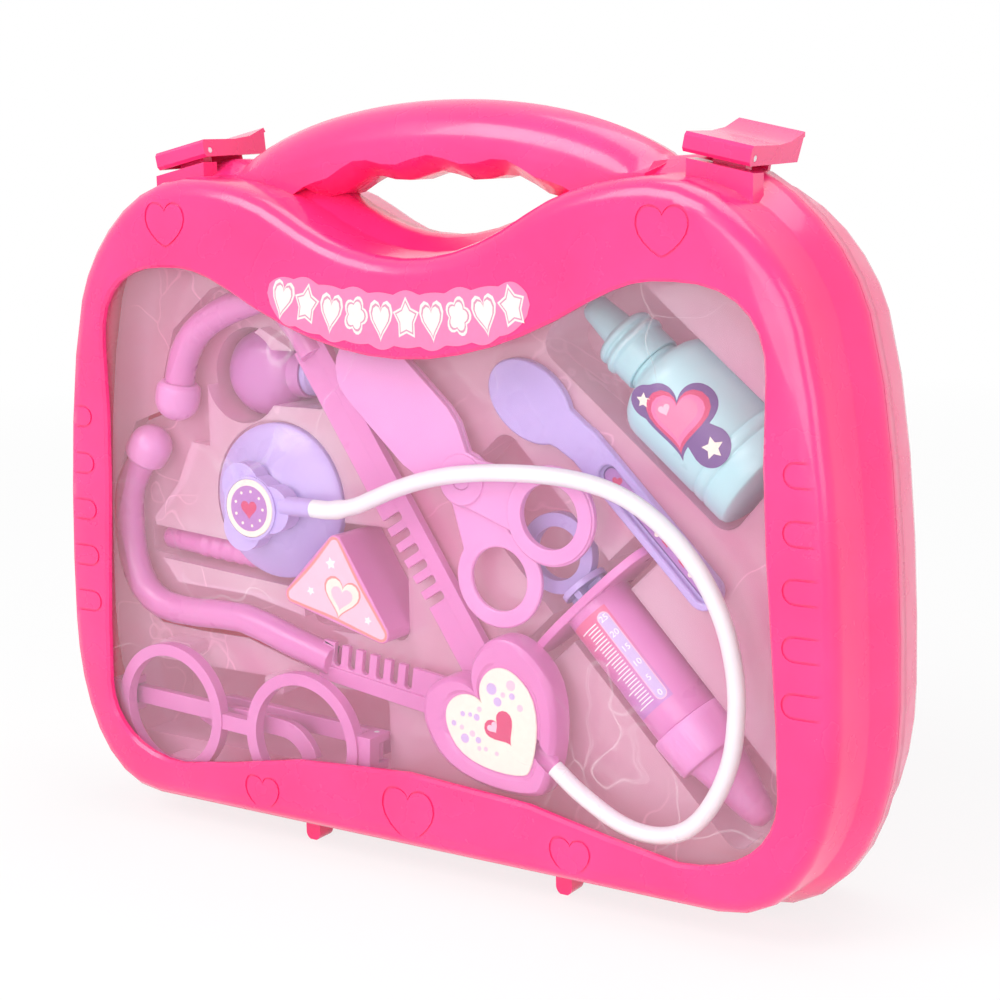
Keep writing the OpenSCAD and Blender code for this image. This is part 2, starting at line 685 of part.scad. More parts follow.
// Points between the given ones on a smooth curve
function spline(p, n) = [
    for (i = [0 : len(p) - 2])
        let (a = p[max(i - 1, 0)], b = p[i], c = p[i + 1], d = p[min(i + 2, len(p) - 1)])
            for (k = [0 : n - 1])
                let (t = k / n)
                    0.5 * (2 * b + (c - a) * t + (2 * a - 5 * b + 4 * c - d) * t * t + (3 * b - a - 3 * c + d) * pow(t, 3)),
    p[len(p) - 1]
];
upper_root = [12.5, 65.3];
upper_arm_l = 106;
upper_arm_a = 123;
lower_root = [6, 45.6];
lower_arm_l = 50;
lower_arm_a = 172;
function arm_end(root, l, a) = root + l * [cos(a), sin(a)];
upper_end = arm_end(upper_root, upper_arm_l, upper_arm_a);
lower_end = arm_end(lower_root, lower_arm_l, lower_arm_a);
upper_ear = [-101, 139];
lower_ear = [-119, 112];
upper_ear_path = [
    [upper_end[0] + 2.2, ear_d - 1, upper_end[1] - 3.4], [upper_end[0] - 3.5, ear_d - 0.5, upper_end[1] + 4.6],
    [-60, ear_d, 168], [-71, ear_d, 166.5], [-83, ear_d, 162], [-92.5, ear_d, 156],
    [-98.5, ear_d, 148], [upper_ear[0], ear_d, upper_ear[1]]
];
lower_ear_path = [
    [lower_end[0] + 4, ear_d - 1, lower_end[1] - 0.5], [-57.5, ear_d - 0.5, 56.5], [-76.7, ear_d, 61.4],
    [-98, ear_d, 61], [-112, ear_d, 62], [-121, ear_d, 67.5], [-125.6, ear_d, 78],
    [-126.6, ear_d, 92], [-125, ear_d, 103], [lower_ear[0], ear_d, lower_ear[1]]
];
module headset_arm_upper() {
    color(ORCHID) {
        lay(upper_root[0], upper_root[1], arm_back_d, upper_arm_a) flat_arm(upper_arm_l, true);
        rod(spline(upper_ear_path, 2), ear_tube_r, 10);
    }
}
module headset_arm_lower() {
    color(ORCHID) {
        lay(lower_root[0], lower_root[1], arm_back_d, lower_arm_a) flat_arm(lower_arm_l, false);
        rod(spline(lower_ear_path, 2), ear_tube_r, 10);
    }
}
// A soft ear tip: a collar that swells into a dome, turned about z
module ear_tip() {
    r = ear_tip_r;
    rotate_extrude() polygon(concat(
        [[0, 0], [r * 0.8, 0], [r * 0.97, 1.4], [r, 3], [r, 6]],
        [for (a = [15 : 15 : 75]) [r * cos(a), 6 + r * 0.95 * sin(a)]],
        [[0, 6 + r * 0.95]]));
}
function end_angle(path) = let (p = spline(path, 2), n = len(p) - 1, d = p[n] - p[n - 1]) atan2(d[2], d[0]);
module ear_tip_upper() {
    color(ROSE) lean(upper_ear[0], upper_ear[1], ear_d, end_angle(upper_ear_path)) ear_tip();
}
module ear_tip_lower() {
    color(ROSE) lean(lower_ear[0], lower_ear[1], ear_d, end_angle(lower_ear_path)) ear_tip();
}

// The tube's route, in whole and half millimetres: x and height of its middle line
tube_route = [
    [-38, 103.6], [-36, 103.6], [-32.5, 103.6], [-28, 104.2], [-21, 106], [-14, 109], [-6, 112.4], [4, 115.8], [14, 118.2],
    [25, 119.8], [36, 120.6], [46, 120.8], [56, 120.4], [66, 118.8], [75, 115.8], [83, 111.2], [90, 105.5],
    [96, 99], [101, 91.5], [105, 83], [107.5, 74], [108.8, 64.5], [108.6, 54.5], [107.2, 45], [104, 36],
    [99, 27.5], [93, 21.6], [85.5, 18.6], [77.5, 18.4], [70, 20.4], [62.5, 24.2], [56, 28.2], [49.5, 33.2]
];
module stethoscope_tube() {
    color(WHITE) rod([for (p = tube_route) [p[0], tube_d, p[1]]], tube_r, 10);
}

// ---- chest piece ---------------------------------------------------------------------------

bell_rise = bell_back_d - knob_back_d;
module chest_bell() {
    r = bell_r;
    color(LILAC) lay(chest_x, chest_z, bell_back_d, 0) rotate_extrude() polygon([
        [r - 2.2, 0], [r, 0], [r, 2.6], [r - 0.8, 3.4], [r - 3, 4.6], [r - 8, 6.9], [r - 13, 8.6],
        [8.6, bell_rise - 0.6], [8.2, bell_rise], [0, bell_rise], [0, bell_rise - 2.4], [6, bell_rise - 2.6],
        [r - 9.5, 5.2], [r - 4, 3], [r - 4, 1.5], [r - 2.2, 1.5]
    ]);
}
module chest_diaphragm() {
    color(LILAC) lay(chest_x, chest_z, bell_back_d - 0.3, 0) cylinder(h = 1.2, r = bell_r - 2.25);
}
knob_t = 6;
module chest_knob() {
    lobe_r = 7.6;
    lobe_c = 7.8;
    color(LILAC) {
        lay(chest_x, chest_z, knob_back_d, 0) {
            difference() {
                union() {
                    linear_extrude(knob_t) {
                        circle(r = 10.6);
                        for (a = [0, 120, 240])
                            rotate(a) translate([lobe_c, 0]) circle(r = lobe_r);
                    }
                    cylinder(h = knob_t + 0.7, r = knob_face_r);
                }
                translate([0, 0, knob_t + 0.2]) cylinder(h = 2, r = knob_face_r - 0.9);
            }
        }
        translate([chest_x + 12, deep(tube_d), chest_z + 1.6 + foot_h]) rotate([0, 90, 0])
            cylinder(h = tube_route[0][0] - chest_x - 12, r = 3);
    }
}
module chest_plate() {
    color(ORCHID) lay(chest_x, chest_z, knob_back_d - knob_t - 0.2, 0) cylinder(h = 0.6, r = knob_face_r - 1);
}

// ---- scissors ------------------------------------------------------------------------------

boss_r = 8.4;
boss_hole_r = 3;
ring_spread = 14.4;
ring_drop = 28.4;
ring_r = finger_r + finger_ring;
blade_line = concat(
    [[-boss_r + 1.4, 4], [-blade_w / 2 + 1, 13], [-blade_w / 2, 18]],
    [[-blade_w / 2, blade_l - 14]], arc([0, blade_l - 14], blade_w / 2, 180, 100, 5),
    [[2, blade_l]], arc([4, blade_l - 8.5], blade_w / 2 - 4, 74, 0, 4),
    [[blade_w / 2, blade_l - 16], [blade_w / 2, 18], [blade_w / 2 - 1, 13], [boss_r - 1.4, 4]]);
// One half, with its ring on the side s; the front half's ring and boss stand proud
module scissor_half(s, proud) {
    c = [s * ring_spread, -ring_drop];
    u = unit(c);
    v = [-u[1], u[0]];
    difference() {
        union() {
            linear_extrude(blade_t) polygon(blade_line);
            linear_extrude(blade_t) polygon([7.4 * v, -7.4 * v, c - 11 * u - 9 * v, c - 11 * u + 9 * v]);
            cylinder(h = blade_t, r = boss_r);
            translate(c) cylinder(h = blade_t, r = ring_r);
        }
        translate([c[0], c[1], -1]) cylinder(h = blade_t + 2, r = finger_r);
        translate([0, 0, -1]) cylinder(h = blade_t + 2, r = boss_hole_r + pin_clear);
    }
    if (proud > 0)
        translate([0, 0, blade_t - 0.4]) linear_extrude(proud + 0.4) {
            difference() {
                circle(r = boss_r - 0.6);
                circle(r = boss_hole_r + pin_clear);
            }
            translate(c) difference() {
                circle(r = ring_r - 0.6);
                circle(r = finger_r);
            }
        }
}
module scissors_front() {
    color(ROSE) lay(scissors_x, scissors_z, scissors_back_d - blade_t - 0.2, scissors_turn) scissor_half(1, 0.8);
}
module scissors_back() {
    color(ROSE) lay(scissors_x, scissors_z, scissors_back_d, scissors_turn) scissor_half(-1, 0);
}
module scissors_rivet() {
    color(ROSE) lay(scissors_x, scissors_z, scissors_back_d + 0.3, scissors_turn)
        cylinder(h = 2 * blade_t + 1.1, r = boss_hole_r);
}

// ---- tongue depressor ----------------------------------------------------------------------

module tongue_depressor() {
    w = spatula_w;
    start = 16;
    color(LILAC) lay(spatula_x, spatula_z, spatula_back_d, spatula_turn) difference() {
        union() {
            linear_extrude(spatula_t) polygon(placed(ellipse(15.5, 11, 40), 0, 0, 10));
            linear_extrude(spatula_t) polygon([[7, 8.4], [start + 7, 4.4 + w / 2], [start + 7, 4.6 - w / 2],
                [start, 3 - w / 2], [8, -6.5]]);
            linear_extrude(spatula_t) polygon(placed(round_rect(spatula_l, w, 5), start + spatula_l / 2, 4.5, 0));
        }
        translate([0, 0, 1]) linear_extrude(spatula_t)
            polygon(placed(round_rect(spatula_l - 16, w - 5, 3), start + 6 + spatula_l / 2, 4.5, 0));
    }
}

// ---- bottle --------------------------------------------------------------------------------

neck_r = 8.2;
module bottle_body() {
    r = bottle_r;
    l = bottle_l;
    color(AQUA) lean(bottle_x, bottle_z, bottle_d, bottle_a) rotate_extrude($fn = 64) polygon(concat(
        [[0, 0], [r - 2, 0], [r - 0.5, 0.7], [r, 2.4], [r, 8], [r - 0.6, 8.8], [r, 9.6], [r, 12], [r - 0.6, 12.8],
            [r, 13.6]],
        [for (a = [0 : 15 : 75]) [r - 8 + 8 * cos(a), l - 11 + 8 * sin(a)]],
        [[neck_r + 1, l - 2], [neck_r, l - 1], [neck_r, l], [neck_r - 1.4, l], [neck_r - 1.4, l - 3]],
        [for (a = [60 : -20 : 0]) [r - 9.4 + 8 * cos(a), l - 12.4 + 8 * sin(a)]],
        [[r - 1.4, 3], [r - 3, 1.6], [0, 1.6]]));
}
module bottle_cap() {
    color(AQUA) lean(bottle_x, bottle_z, bottle_d, bottle_a) translate([0, 0, bottle_l + 0.02])
        rotate_extrude() polygon([
            [0, 0], [9.2, 0], [9.2, 6.5], [9.9, 7.2], [10.1, 8.2], [9.6, 9.2], [8.8, 9.6], [8.8, 10.4], [9.5, 11],
            [9.5, 12.2], [8.6, 13.2], [7.2, 13.8], [0, 13.8]
        ]);
}
module bottle_nozzle() {
    color(AQUA) lean(bottle_x, bottle_z, bottle_d, bottle_a) translate([0, 0, bottle_l + 13.84])
        rotate_extrude() polygon([[0, 0], [5.4, 0], [4.6, 7], [4.2, 11], [3.4, 12.4], [0, 12.8]]);
}

// ---- syringe -------------------------------------------------------------------------------

module at_syringe() {
    lean(syringe_x, syringe_z, syringe_d, syringe_a) children();
}
flange_t = 2.6;
flange_half_w = 11.6;
// Outline of the finger flange: long in the case's plane, round-ended
flange_line = [for (i = [0 : 47]) let (c = cos(i * 7.5), s = sin(i * 7.5))
    [flange_l / 2 * sign(c) * pow(abs(c), 0.9), flange_half_w * sign(s) * pow(abs(s), 0.7)]];
module syringe_barrel() {
    bore = barrel_r - barrel_wall;
    color(ORCHID) at_syringe() difference() {
        union() {
            cylinder(h = barrel_l, r = barrel_r);
            linear_extrude(flange_t) polygon(flange_line);
        }
        translate([0, 0, -1]) cylinder(h = barrel_l - 0.4, r = bore);
        translate([0, 0, barrel_l - 3]) cylinder(h = 5, r = 2);
    }
}
module syringe_tip() {
    color(ROSE) at_syringe() translate([0, 0, barrel_l + 0.02]) difference() {
        rotate_extrude() polygon([
            [0, 0], [12.2, 0], [12.5, 1], [11.7, 11.5], [11.2, 12.6], [9.2, 12.9], [8.6, 14], [5, 32], [3.9, 35.2],
            [2, 36.8], [0, 37]
        ]);
        translate([0, 0, -1]) cylinder(h = 12, r = 3);
    }
}
plunger_disc_z = -5.2;
ring_z = -16.8;
plunger_ring_r = 12.4;
seal_z = 32;
module syringe_plunger() {
    color(LILAC) at_syringe() difference() {
        union() {
            translate([0, 0, plunger_disc_z]) cylinder(h = 2, r = 7.6);
            translate([-1.2, -6.5, plunger_disc_z + 1]) cube([2.4, 13, seal_z - plunger_disc_z - 1]);
            translate([-6.5, -1.2, plunger_disc_z + 1]) cube([13, 2.4, seal_z - plunger_disc_z - 1]);
            translate([0, 2, ring_z]) rotate([90, 0, 0]) cylinder(h = 4, r = plunger_ring_r);
        }
        translate([0, 3, ring_z]) rotate([90, 0, 0]) cylinder(h = 6, r = plunger_ring_r - 4.2);
    }
}
module plunger_seal() {
    bore = barrel_r - barrel_wall;
    color(WHITE) at_syringe() translate([0, 0, seal_z]) rotate_extrude()
        polygon([[0, 0], [bore - 0.1, 0], [bore - 0.1, 1.4], [bore - 0.8, 2.2], [bore - 0.8, 4], [bore - 0.1, 4.8],
            [bore - 0.1, 6], [bore - 2, 7], [0, 8]]);
}

// ---- glasses -------------------------------------------------------------------------------

glasses_t = 4;
lug_l = 6;
lug_h = 12;
temple_h = 6;
temple_t = 3;
hinge_back_d = 15.2;
temple_pin_r = 1;
glasses_tilt = -2.7;
lug_x = lens_gap / 2 + rim_r + lug_l - 2.6;
module at_glasses() {
    lay(glasses_x, glasses_z, glasses_back_d, glasses_tilt) children();
}
// The front frame: two rims, a bridge and a hinge lug at each end
module glasses_front() {
    color(ORCHID) at_glasses() difference() {
        union() {
            for (s = [-1, 1]) {
                translate([s * lens_gap / 2, 0, 0]) cylinder(h = glasses_t, r = rim_r, $fn = 64);
                translate([s * (lug_x - 2) - 3, -lug_h / 2, glasses_back_d - hinge_back_d - 2.6])
                    cube([6, lug_h, hinge_back_d - glasses_back_d + glasses_t + 1.6]);
            }
            translate([-8, -2.6, 0]) cube([16, 5.2, glasses_t - 0.6]);
        }
        for (s = [-1, 1]) {
            translate([s * lens_gap / 2, 0, -1]) cylinder(h = glasses_t + 2, r = rim_r - rim_w, $fn = 64);
            // the slot that the temple's eye turns in
            translate([s * (lug_x - 2) - 4, -temple_h / 2 - 0.3, glasses_back_d - hinge_back_d - 4])
                cube([8, temple_h + 0.6, 6.6]);
            translate([s * (lug_x - 2), lug_h / 2 + 1, glasses_back_d - hinge_back_d]) rotate([90, 0, 0])
                cylinder(h = lug_h + 2, r = temple_pin_r + 0.02);
        }
    }
}
// A folded temple: an eye round the pin, an arm along +x and a hook that turns down
module temple(drop) {
    l = temple_l;
    h = temple_h;
    difference() {
        union() {
            rotate([90, 0, 0]) translate([0, 0, -h / 2]) cylinder(h = h, r = 2.2);
            translate([0, -h / 2, -drop - temple_t / 2]) linear_extrude(temple_t) polygon(concat(
                [[2.4, 0], [2.4, h]], arc([l, h - 16], 16, 90, 20, 7), arc([l, h - 16], 10, 20, 90, 6)));
            translate([-0.2, -h / 2, -drop - temple_t / 2]) cube([4, h, drop + temple_t / 2 + 1.1]);
        }
        rotate([90, 0, 0]) translate([0, 0, -h]) cylinder(h = 2 * h, r = temple_pin_r + pin_clear);
    }
}
left_drop = 0;
right_drop = 9;
module at_temple(s) {
    at_glasses() translate([s * (lug_x - 2), 0, glasses_back_d - hinge_back_d]) rotate([0, 0, s > 0 ? 180 : 0])
        mirror([0, s > 0 ? 1 : 0, 0]) children();
}
module temple_left() {
    color(ORCHID) at_temple(-1) temple(left_drop);
}
module temple_right() {
    color(ORCHID) at_temple(1) temple(right_drop);
}
module temple_pin(s) {
    color(WHITE) at_temple(s) rotate([90, 0, 0]) cylinder(h = lug_h, r = temple_pin_r, center = true);
}
module temple_pin_left() {
    temple_pin(-1);
}
module temple_pin_right() {
    temple_pin(1);
}

// ---- reflex hammer -------------------------------------------------------------------------

hammer_top = [-31.6, 92.4];
hammer_left = [-49, 74.5];
hammer_right = [-14.5, 65.5];
hammer_r = 3;
hammer_mid = (hammer_top + hammer_left + hammer_right) / 3;
function corner_arc(p, q, r, n) =
    let (a = atan2((q - p)[1], (q - p)[0]) - 90, b = atan2((r - q)[1], (r - q)[0]) - 90,
        c = b < a ? b + 360 : b)
    arc(q, hammer_r, a, c, n);
hammer_line = concat(corner_arc(hammer_left, hammer_right, hammer_top, 5),
    corner_arc(hammer_right, hammer_top, hammer_left, 5), corner_arc(hammer_top, hammer_left, hammer_right, 5));
hammer_end = [-118, 84];
hammer_a = atan2(hammer_end[1] - hammer_mid[1], hammer_end[0] - hammer_mid[0]);
module hammer_head() {
    color(CREAM) difference() {
        slab(hammer_line, deep(hammer_back_d - hammer_t), deep(hammer_back_d));
        lean(hammer_mid[0], hammer_mid[1], hammer_handle_d, hammer_a) translate([0, 0, 2])
            cylinder(h = 60, r = hammer_handle_r - 1 + 0.02);
    }
}
module hammer_handle() {
    r = hammer_handle_r;
    l = norm(hammer_end - hammer_mid);
    color(ORCHID) lean(hammer_mid[0], hammer_mid[1], hammer_handle_d, hammer_a) rotate_extrude() polygon(concat(
        [[0, 2.2], [r - 1, 2.2], [r - 1, 19], [r, 20.5], [r, l * 0.45]],
        [for (i = [0 : 5]) each [[r + 0.5, l * 0.5 + i * 5], [r, l * 0.5 + i * 5 + 2.5]]],
        [[r, l - 2], [r - 1.4, l], [0, l]]));
}

// ---- ear scope ---------------------------------------------------------------------------

scope_x = -76;
scope_z = 142;
scope_back_d = 45;
scope_neck_d = 35;
module otoscope_head() {
    r = scope_r;
    color(ORCHID) {
        lay(scope_x, scope_z, scope_back_d, 0) rotate_extrude() polygon([
            [0, 0], [r - 1, 0], [r, 1.2], [r, 12], [r - 0.8, 15.4], [r - 3, 18.4], [r - 6.5, 20.4], [0, 21.4]
        ]);
        lean(scope_x, scope_z, scope_neck_d, 0) translate([0, 0, r - 8]) cylinder(h = 10, r = 8);
    }
}
module otoscope_cone() {
    color(LILAC) lean(scope_x, scope_z, scope_neck_d, 0) translate([0, 0, scope_r + 2]) rotate_extrude()
        polygon([[0, 0], [7.2, 0], [7.2, 2], [6.2, 3], [3.4, 17], [2.4, 18], [0, 18]]);
}

// ---- tray ----------------------------------------------------------------------------------

tray_wall_in = 3.4;
rim_seat_y = 3.9;
// The wells: an outline each, and the depth of the floor behind the front face
function along(x, z, a, s) = [x + s * cos(a), z + s * sin(a)];
function box_well(l, w, r, c, a) = placed(round_rect(l, w, r), c[0], c[1], a);
wells = [
    [placed(ellipse(bell_r + 1, bell_r + 1, 48), chest_x, chest_z, 0), bell_back_d + seat],
    [box_well(bottle_l + 33, 2 * bottle_r + 2, 6, along(bottle_x, bottle_z, bottle_a, bottle_l / 2 + 13.2), bottle_a),
        bottle_d + bottle_r + seat],
    [box_well(plunger_travel + 116, 26.6, 5, along(syringe_x, syringe_z, syringe_a, 27 - plunger_travel / 2), syringe_a),
        syringe_d + 12.5 + seat],
    [box_well(flange_t + 8, flange_l + 3, 3, along(syringe_x, syringe_z, syringe_a, 1.3), syringe_a),
        syringe_d + 12.5 + seat],
    [box_well(2 * lug_x + 1, 27, 4, [glasses_x, glasses_z + 1], 0), 48],
    [box_well(42, 36, 4, [-32.5, 79], 0), hammer_back_d + seat],
    [box_well(76, 2 * hammer_handle_r + 3, 2, [-85, 81.2], hammer_a), hammer_handle_d + hammer_handle_r + 0.5 + seat],
    [[[-40, 146], [-47, 171], [-64, 176], [-88, 170], [-105, 156], [-111, 138], [-112, 120], [-91, 118], [-91, 142],
        [-68, 158], [-56, 152], [-50, 144]], ear_d + ear_tip_r + seat],
    [[[-37, 44.5], [-60, 49], [-78, 54], [-98, 54], [-116, 55], [-128, 62], [-134, 78], [-134, 96], [-131, 110],
        [-124, 124], [-108, 130], [-98, 121], [-106, 104], [-117, 92], [-116, 80], [-108, 70], [-76, 69], [-52, 64],
        [-36, 59]], ear_d + ear_tip_r + seat],
    [placed(ellipse(scope_r + 1, scope_r + 1, 36), scope_x, scope_z, 0), scope_back_d + seat],
    [box_well(38, 18, 3, [scope_x + 19, scope_z], 0), scope_back_d + seat]
];
// Raised pads: an outline each, and the depth of the top
pads = [
    [placed(round_rect(14, 5, 2), glasses_x - 28, 49.3, 0), glasses_back_d + seat],
    [placed(round_rect(14, 5, 2), glasses_x - 28, 8.4, 0), glasses_back_d + seat],
    [placed(round_rect(8, 6, 2), glasses_x + 14.4, 42.4, 0), glasses_back_d + seat],
    [placed(round_rect(14, 4, 1.5), glasses_x + 28, 6.6, 0), glasses_back_d + seat],
    [placed(round_rect(14, 10, 3), scissors_x - 18.4, scissors_z + 16.9, scissors_turn), scissors_back_d + 2 * seat]
];
// The sheet is trimmed off under the handle's opening
tray_top_z = 197.5;
module blister_tray() {
    inside = grown(body_line, -tray_wall_in - tray_t);
    color(CLEAR) difference() {
        union() {
            for (q = pads)
                slab(q[0], deep(q[1]), deep(tray_d) + 0.1);
            slab(grown(body_line, rim_out - wall - 1.5), rim_seat_y, rim_seat_y + tray_t);
            slab(grown(body_line, -tray_wall_in), deep(tray_d), rim_seat_y + 0.1);
            intersection() {
                union() {
                    for (w = wells)
                        slab(grown(w[0], tray_t), deep(tray_d) + 0.1, deep(w[1]) + tray_t);
                }
                slab(grown(body_line, -tray_wall_in), deep(tray_d), half_depth);
            }
        }
        difference() {
            slab(inside, deep(tray_d) + tray_t, half_depth);
            for (w = wells)
                slab(grown(w[0], tray_t), deep(tray_d) - 1, deep(w[1]) + tray_t);
        }
        intersection() {
            union() {
                for (w = wells)
                    slab(w[0], deep(tray_d) - 1, deep(w[1]));
            }
            slab(inside, deep(tray_d) - 1, half_depth);
        }
        for (q = pads)
            slab(grown(q[0], -tray_t), deep(q[1]) + tray_t, deep(tray_d) + tray_t + 1);
        translate([-200, -half_depth, tray_top_z]) cube([400, 2 * half_depth, 40]);
    }
}

front_shell();
rear_shell();
window_film();
blister_tray();
hinge_pin_left();
hinge_pin_right();
latch_left();
latch_right();
latch_pin_left();
latch_pin_right();
stethoscope_hub();
hub_plate();
headset_arm_upper();
headset_arm_lower();
ear_tip_upper();
ear_tip_lower();
stethoscope_tube();
chest_bell();
chest_diaphragm();
chest_knob();
chest_plate();
scissors_front();
scissors_back();
scissors_rivet();
tongue_depressor();
bottle_body();
bottle_cap();
bottle_nozzle();
syringe_barrel();
syringe_tip();
syringe_plunger();
plunger_seal();
glasses_front();
temple_left();
temple_right();
temple_pin_left();
temple_pin_right();
hammer_head();
hammer_handle();
otoscope_head();
otoscope_cone();
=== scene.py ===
import json
import math
import random

import bmesh
import bpy
from mathutils import Matrix, Vector

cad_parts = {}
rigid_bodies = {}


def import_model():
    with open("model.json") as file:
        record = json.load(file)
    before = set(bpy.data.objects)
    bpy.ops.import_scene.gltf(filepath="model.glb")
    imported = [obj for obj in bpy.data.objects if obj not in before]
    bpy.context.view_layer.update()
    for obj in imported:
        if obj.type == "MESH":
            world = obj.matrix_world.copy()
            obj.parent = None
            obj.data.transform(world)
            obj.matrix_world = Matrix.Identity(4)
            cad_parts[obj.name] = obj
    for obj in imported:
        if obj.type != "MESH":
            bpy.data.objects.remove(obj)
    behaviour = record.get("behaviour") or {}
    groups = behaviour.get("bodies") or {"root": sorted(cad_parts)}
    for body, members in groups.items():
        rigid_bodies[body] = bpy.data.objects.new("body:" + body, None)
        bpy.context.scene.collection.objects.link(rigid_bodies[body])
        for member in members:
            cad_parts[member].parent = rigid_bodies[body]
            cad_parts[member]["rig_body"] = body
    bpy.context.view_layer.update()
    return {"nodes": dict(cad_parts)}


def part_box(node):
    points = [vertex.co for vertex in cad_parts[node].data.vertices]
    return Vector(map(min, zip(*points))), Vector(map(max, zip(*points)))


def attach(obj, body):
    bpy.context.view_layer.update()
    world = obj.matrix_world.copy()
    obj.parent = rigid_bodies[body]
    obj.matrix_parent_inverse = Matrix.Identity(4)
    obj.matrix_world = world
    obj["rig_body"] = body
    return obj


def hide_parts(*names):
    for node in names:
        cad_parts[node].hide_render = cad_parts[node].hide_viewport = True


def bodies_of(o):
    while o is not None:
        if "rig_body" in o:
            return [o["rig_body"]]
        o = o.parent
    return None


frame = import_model()
NODES = frame["nodes"]

# ---- camera, in the photograph's place ------------------------------------------------------

# Radians, metres and millimetres, solved from left and right pairs of points on the case
AZIMUTH, PITCH, ROLL = 0.57594, 0.18044, -0.01702
STAND = (0.34529, -0.50866, 0.22631)
LENS = 71.758
level_part = math.cos(PITCH)
FORWARD = Vector((-math.sin(AZIMUTH) * level_part, math.cos(AZIMUTH) * level_part, -math.sin(PITCH)))
level = Vector((math.cos(AZIMUTH), math.sin(AZIMUTH), 0))
above = level.cross(FORWARD)
RIGHT = math.cos(ROLL) * level + math.sin(ROLL) * above
UP = -math.sin(ROLL) * level + math.cos(ROLL) * above
camera_data = bpy.data.cameras.new("camera")
camera_data.lens = LENS
camera_data.sensor_width = 36
camera_data.clip_start = 0.01
camera = bpy.data.objects.new("camera", camera_data)
bpy.context.collection.objects.link(camera)
camera.matrix_world = Matrix((
    (RIGHT.x, UP.x, -FORWARD.x, STAND[0]),
    (RIGHT.y, UP.y, -FORWARD.y, STAND[1]),
    (RIGHT.z, UP.z, -FORWARD.z, STAND[2]),
    (0, 0, 0, 1)))
bpy.context.scene.camera = camera
bpy.context.scene.view_settings.view_transform = "Standard"


# ---- materials ------------------------------------------------------------------------------

def srgb(r, g, b):
    """An 8-bit screen colour as a linear colour."""
    out = []
    for v in (r, g, b):
        v /= 255
        out.append(v / 12.92 if v <= 0.04045 else ((v + 0.055) / 1.055) ** 2.4)
    return (*out, 1)


def new_material(name):
    """An empty material with its nodes and links."""
    m = bpy.data.materials.new(name)
    m.use_nodes = True
    m.node_tree.nodes.clear()
    return m, m.node_tree.nodes, m.node_tree.links


def noise(nodes, links, scale, detail=3, stretch=(1, 1, 1)):
    """Noise in the object's own coordinates, 0 to 1."""
    place = nodes.new("ShaderNodeTexCoord")
    mapping = nodes.new("ShaderNodeMapping")
    mapping.inputs["Scale"].default_value = stretch
    links.new(place.outputs["Object"], mapping.inputs["Vector"])
    tex = nodes.new("ShaderNodeTexNoise")
    tex.inputs["Scale"].default_value = scale
    tex.inputs["Detail"].default_value = detail
    links.new(mapping.outputs["Vector"], tex.inputs["Vector"])
    return tex.outputs["Fac"]


def spread(nodes, links, value, low, high, out_low, out_high):
    """Stretches a value's range onto another."""
    m = nodes.new("ShaderNodeMapRange")
    m.inputs["From Min"].default_value = low
    m.inputs["From Max"].default_value = high
    m.inputs["To Min"].default_value = out_low
    m.inputs["To Max"].default_value = out_high
    links.new(value, m.inputs["Value"])
    return m.outputs["Result"]


def combined(nodes, links, operation, first, second, third=None):
    """A maths node; each input is a socket or a number."""
    m = nodes.new("ShaderNodeMath")
    m.operation = operation
    for i, value in enumerate((first, second) if third is None else (first, second, third)):
        if isinstance(value, (int, float)):
            m.inputs[i].default_value = value
        else:
            links.new(value, m.inputs[i])
    return m.outputs["Value"]


def bumps(nodes, links, layers):
    """A chain of bump nodes: (value, strength, distance) each."""
    normal = None
    for value, strength, distance in layers:
        b = nodes.new("ShaderNodeBump")
        b.inputs["Strength"].default_value = strength
        b.inputs["Distance"].default_value = distance
        links.new(value, b.inputs["Height"])
        if normal:
            links.new(normal, b.inputs["Normal"])
        normal = b.outputs["Normal"]
    return normal


def tint(nodes, links, value, dark, light):
    """A colour between two, by the middle part of a value's range."""
    ramp = nodes.new("ShaderNodeValToRGB")
    ramp.color_ramp.elements[0].position = 0.3
    ramp.color_ramp.elements[0].color = dark
    ramp.color_ramp.elements[1].position = 0.7
    ramp.color_ramp.elements[1].color = light
    links.new(value, ramp.inputs["Fac"])
    return ramp.outputs["Color"]


def plastic(name, dark, light, rough=0.28, glow=0.0, coat=0.2, wave=0.25, grain=0.06):
    """Moulded plastic: slight colour drift, sink waves, a fine moulded grain and worn gloss."""
    m, nodes, links = new_material(name)
    p = nodes.new("ShaderNodeBsdfPrincipled")
    out = nodes.new("ShaderNodeOutputMaterial")
    drift = noise(nodes, links, 24, 3)
    links.new(tint(nodes, links, drift, dark, light), p.inputs["Base Color"])
    smudge = noise(nodes, links, 70, 5)
    links.new(spread(nodes, links, smudge, 0.3, 0.7, rough - 0.05, rough + 0.08), p.inputs["Roughness"])
    p.inputs["Subsurface Weight"].default_value = glow
    p.inputs["Subsurface Radius"].default_value = (1.0, 0.35, 0.4)
    p.inputs["Subsurface Scale"].default_value = 0.004
    p.inputs["Coat Weight"].default_value = coat
    p.inputs["Coat Roughness"].default_value = 0.08
    links.new(bumps(nodes, links, [
        (noise(nodes, links, 45, 2), wave, 0.0006),
        (noise(nodes, links, 1800, 2), grain, 0.0001)]), p.inputs["Normal"])
    links.new(p.outputs["BSDF"], out.inputs["Surface"])
    return m


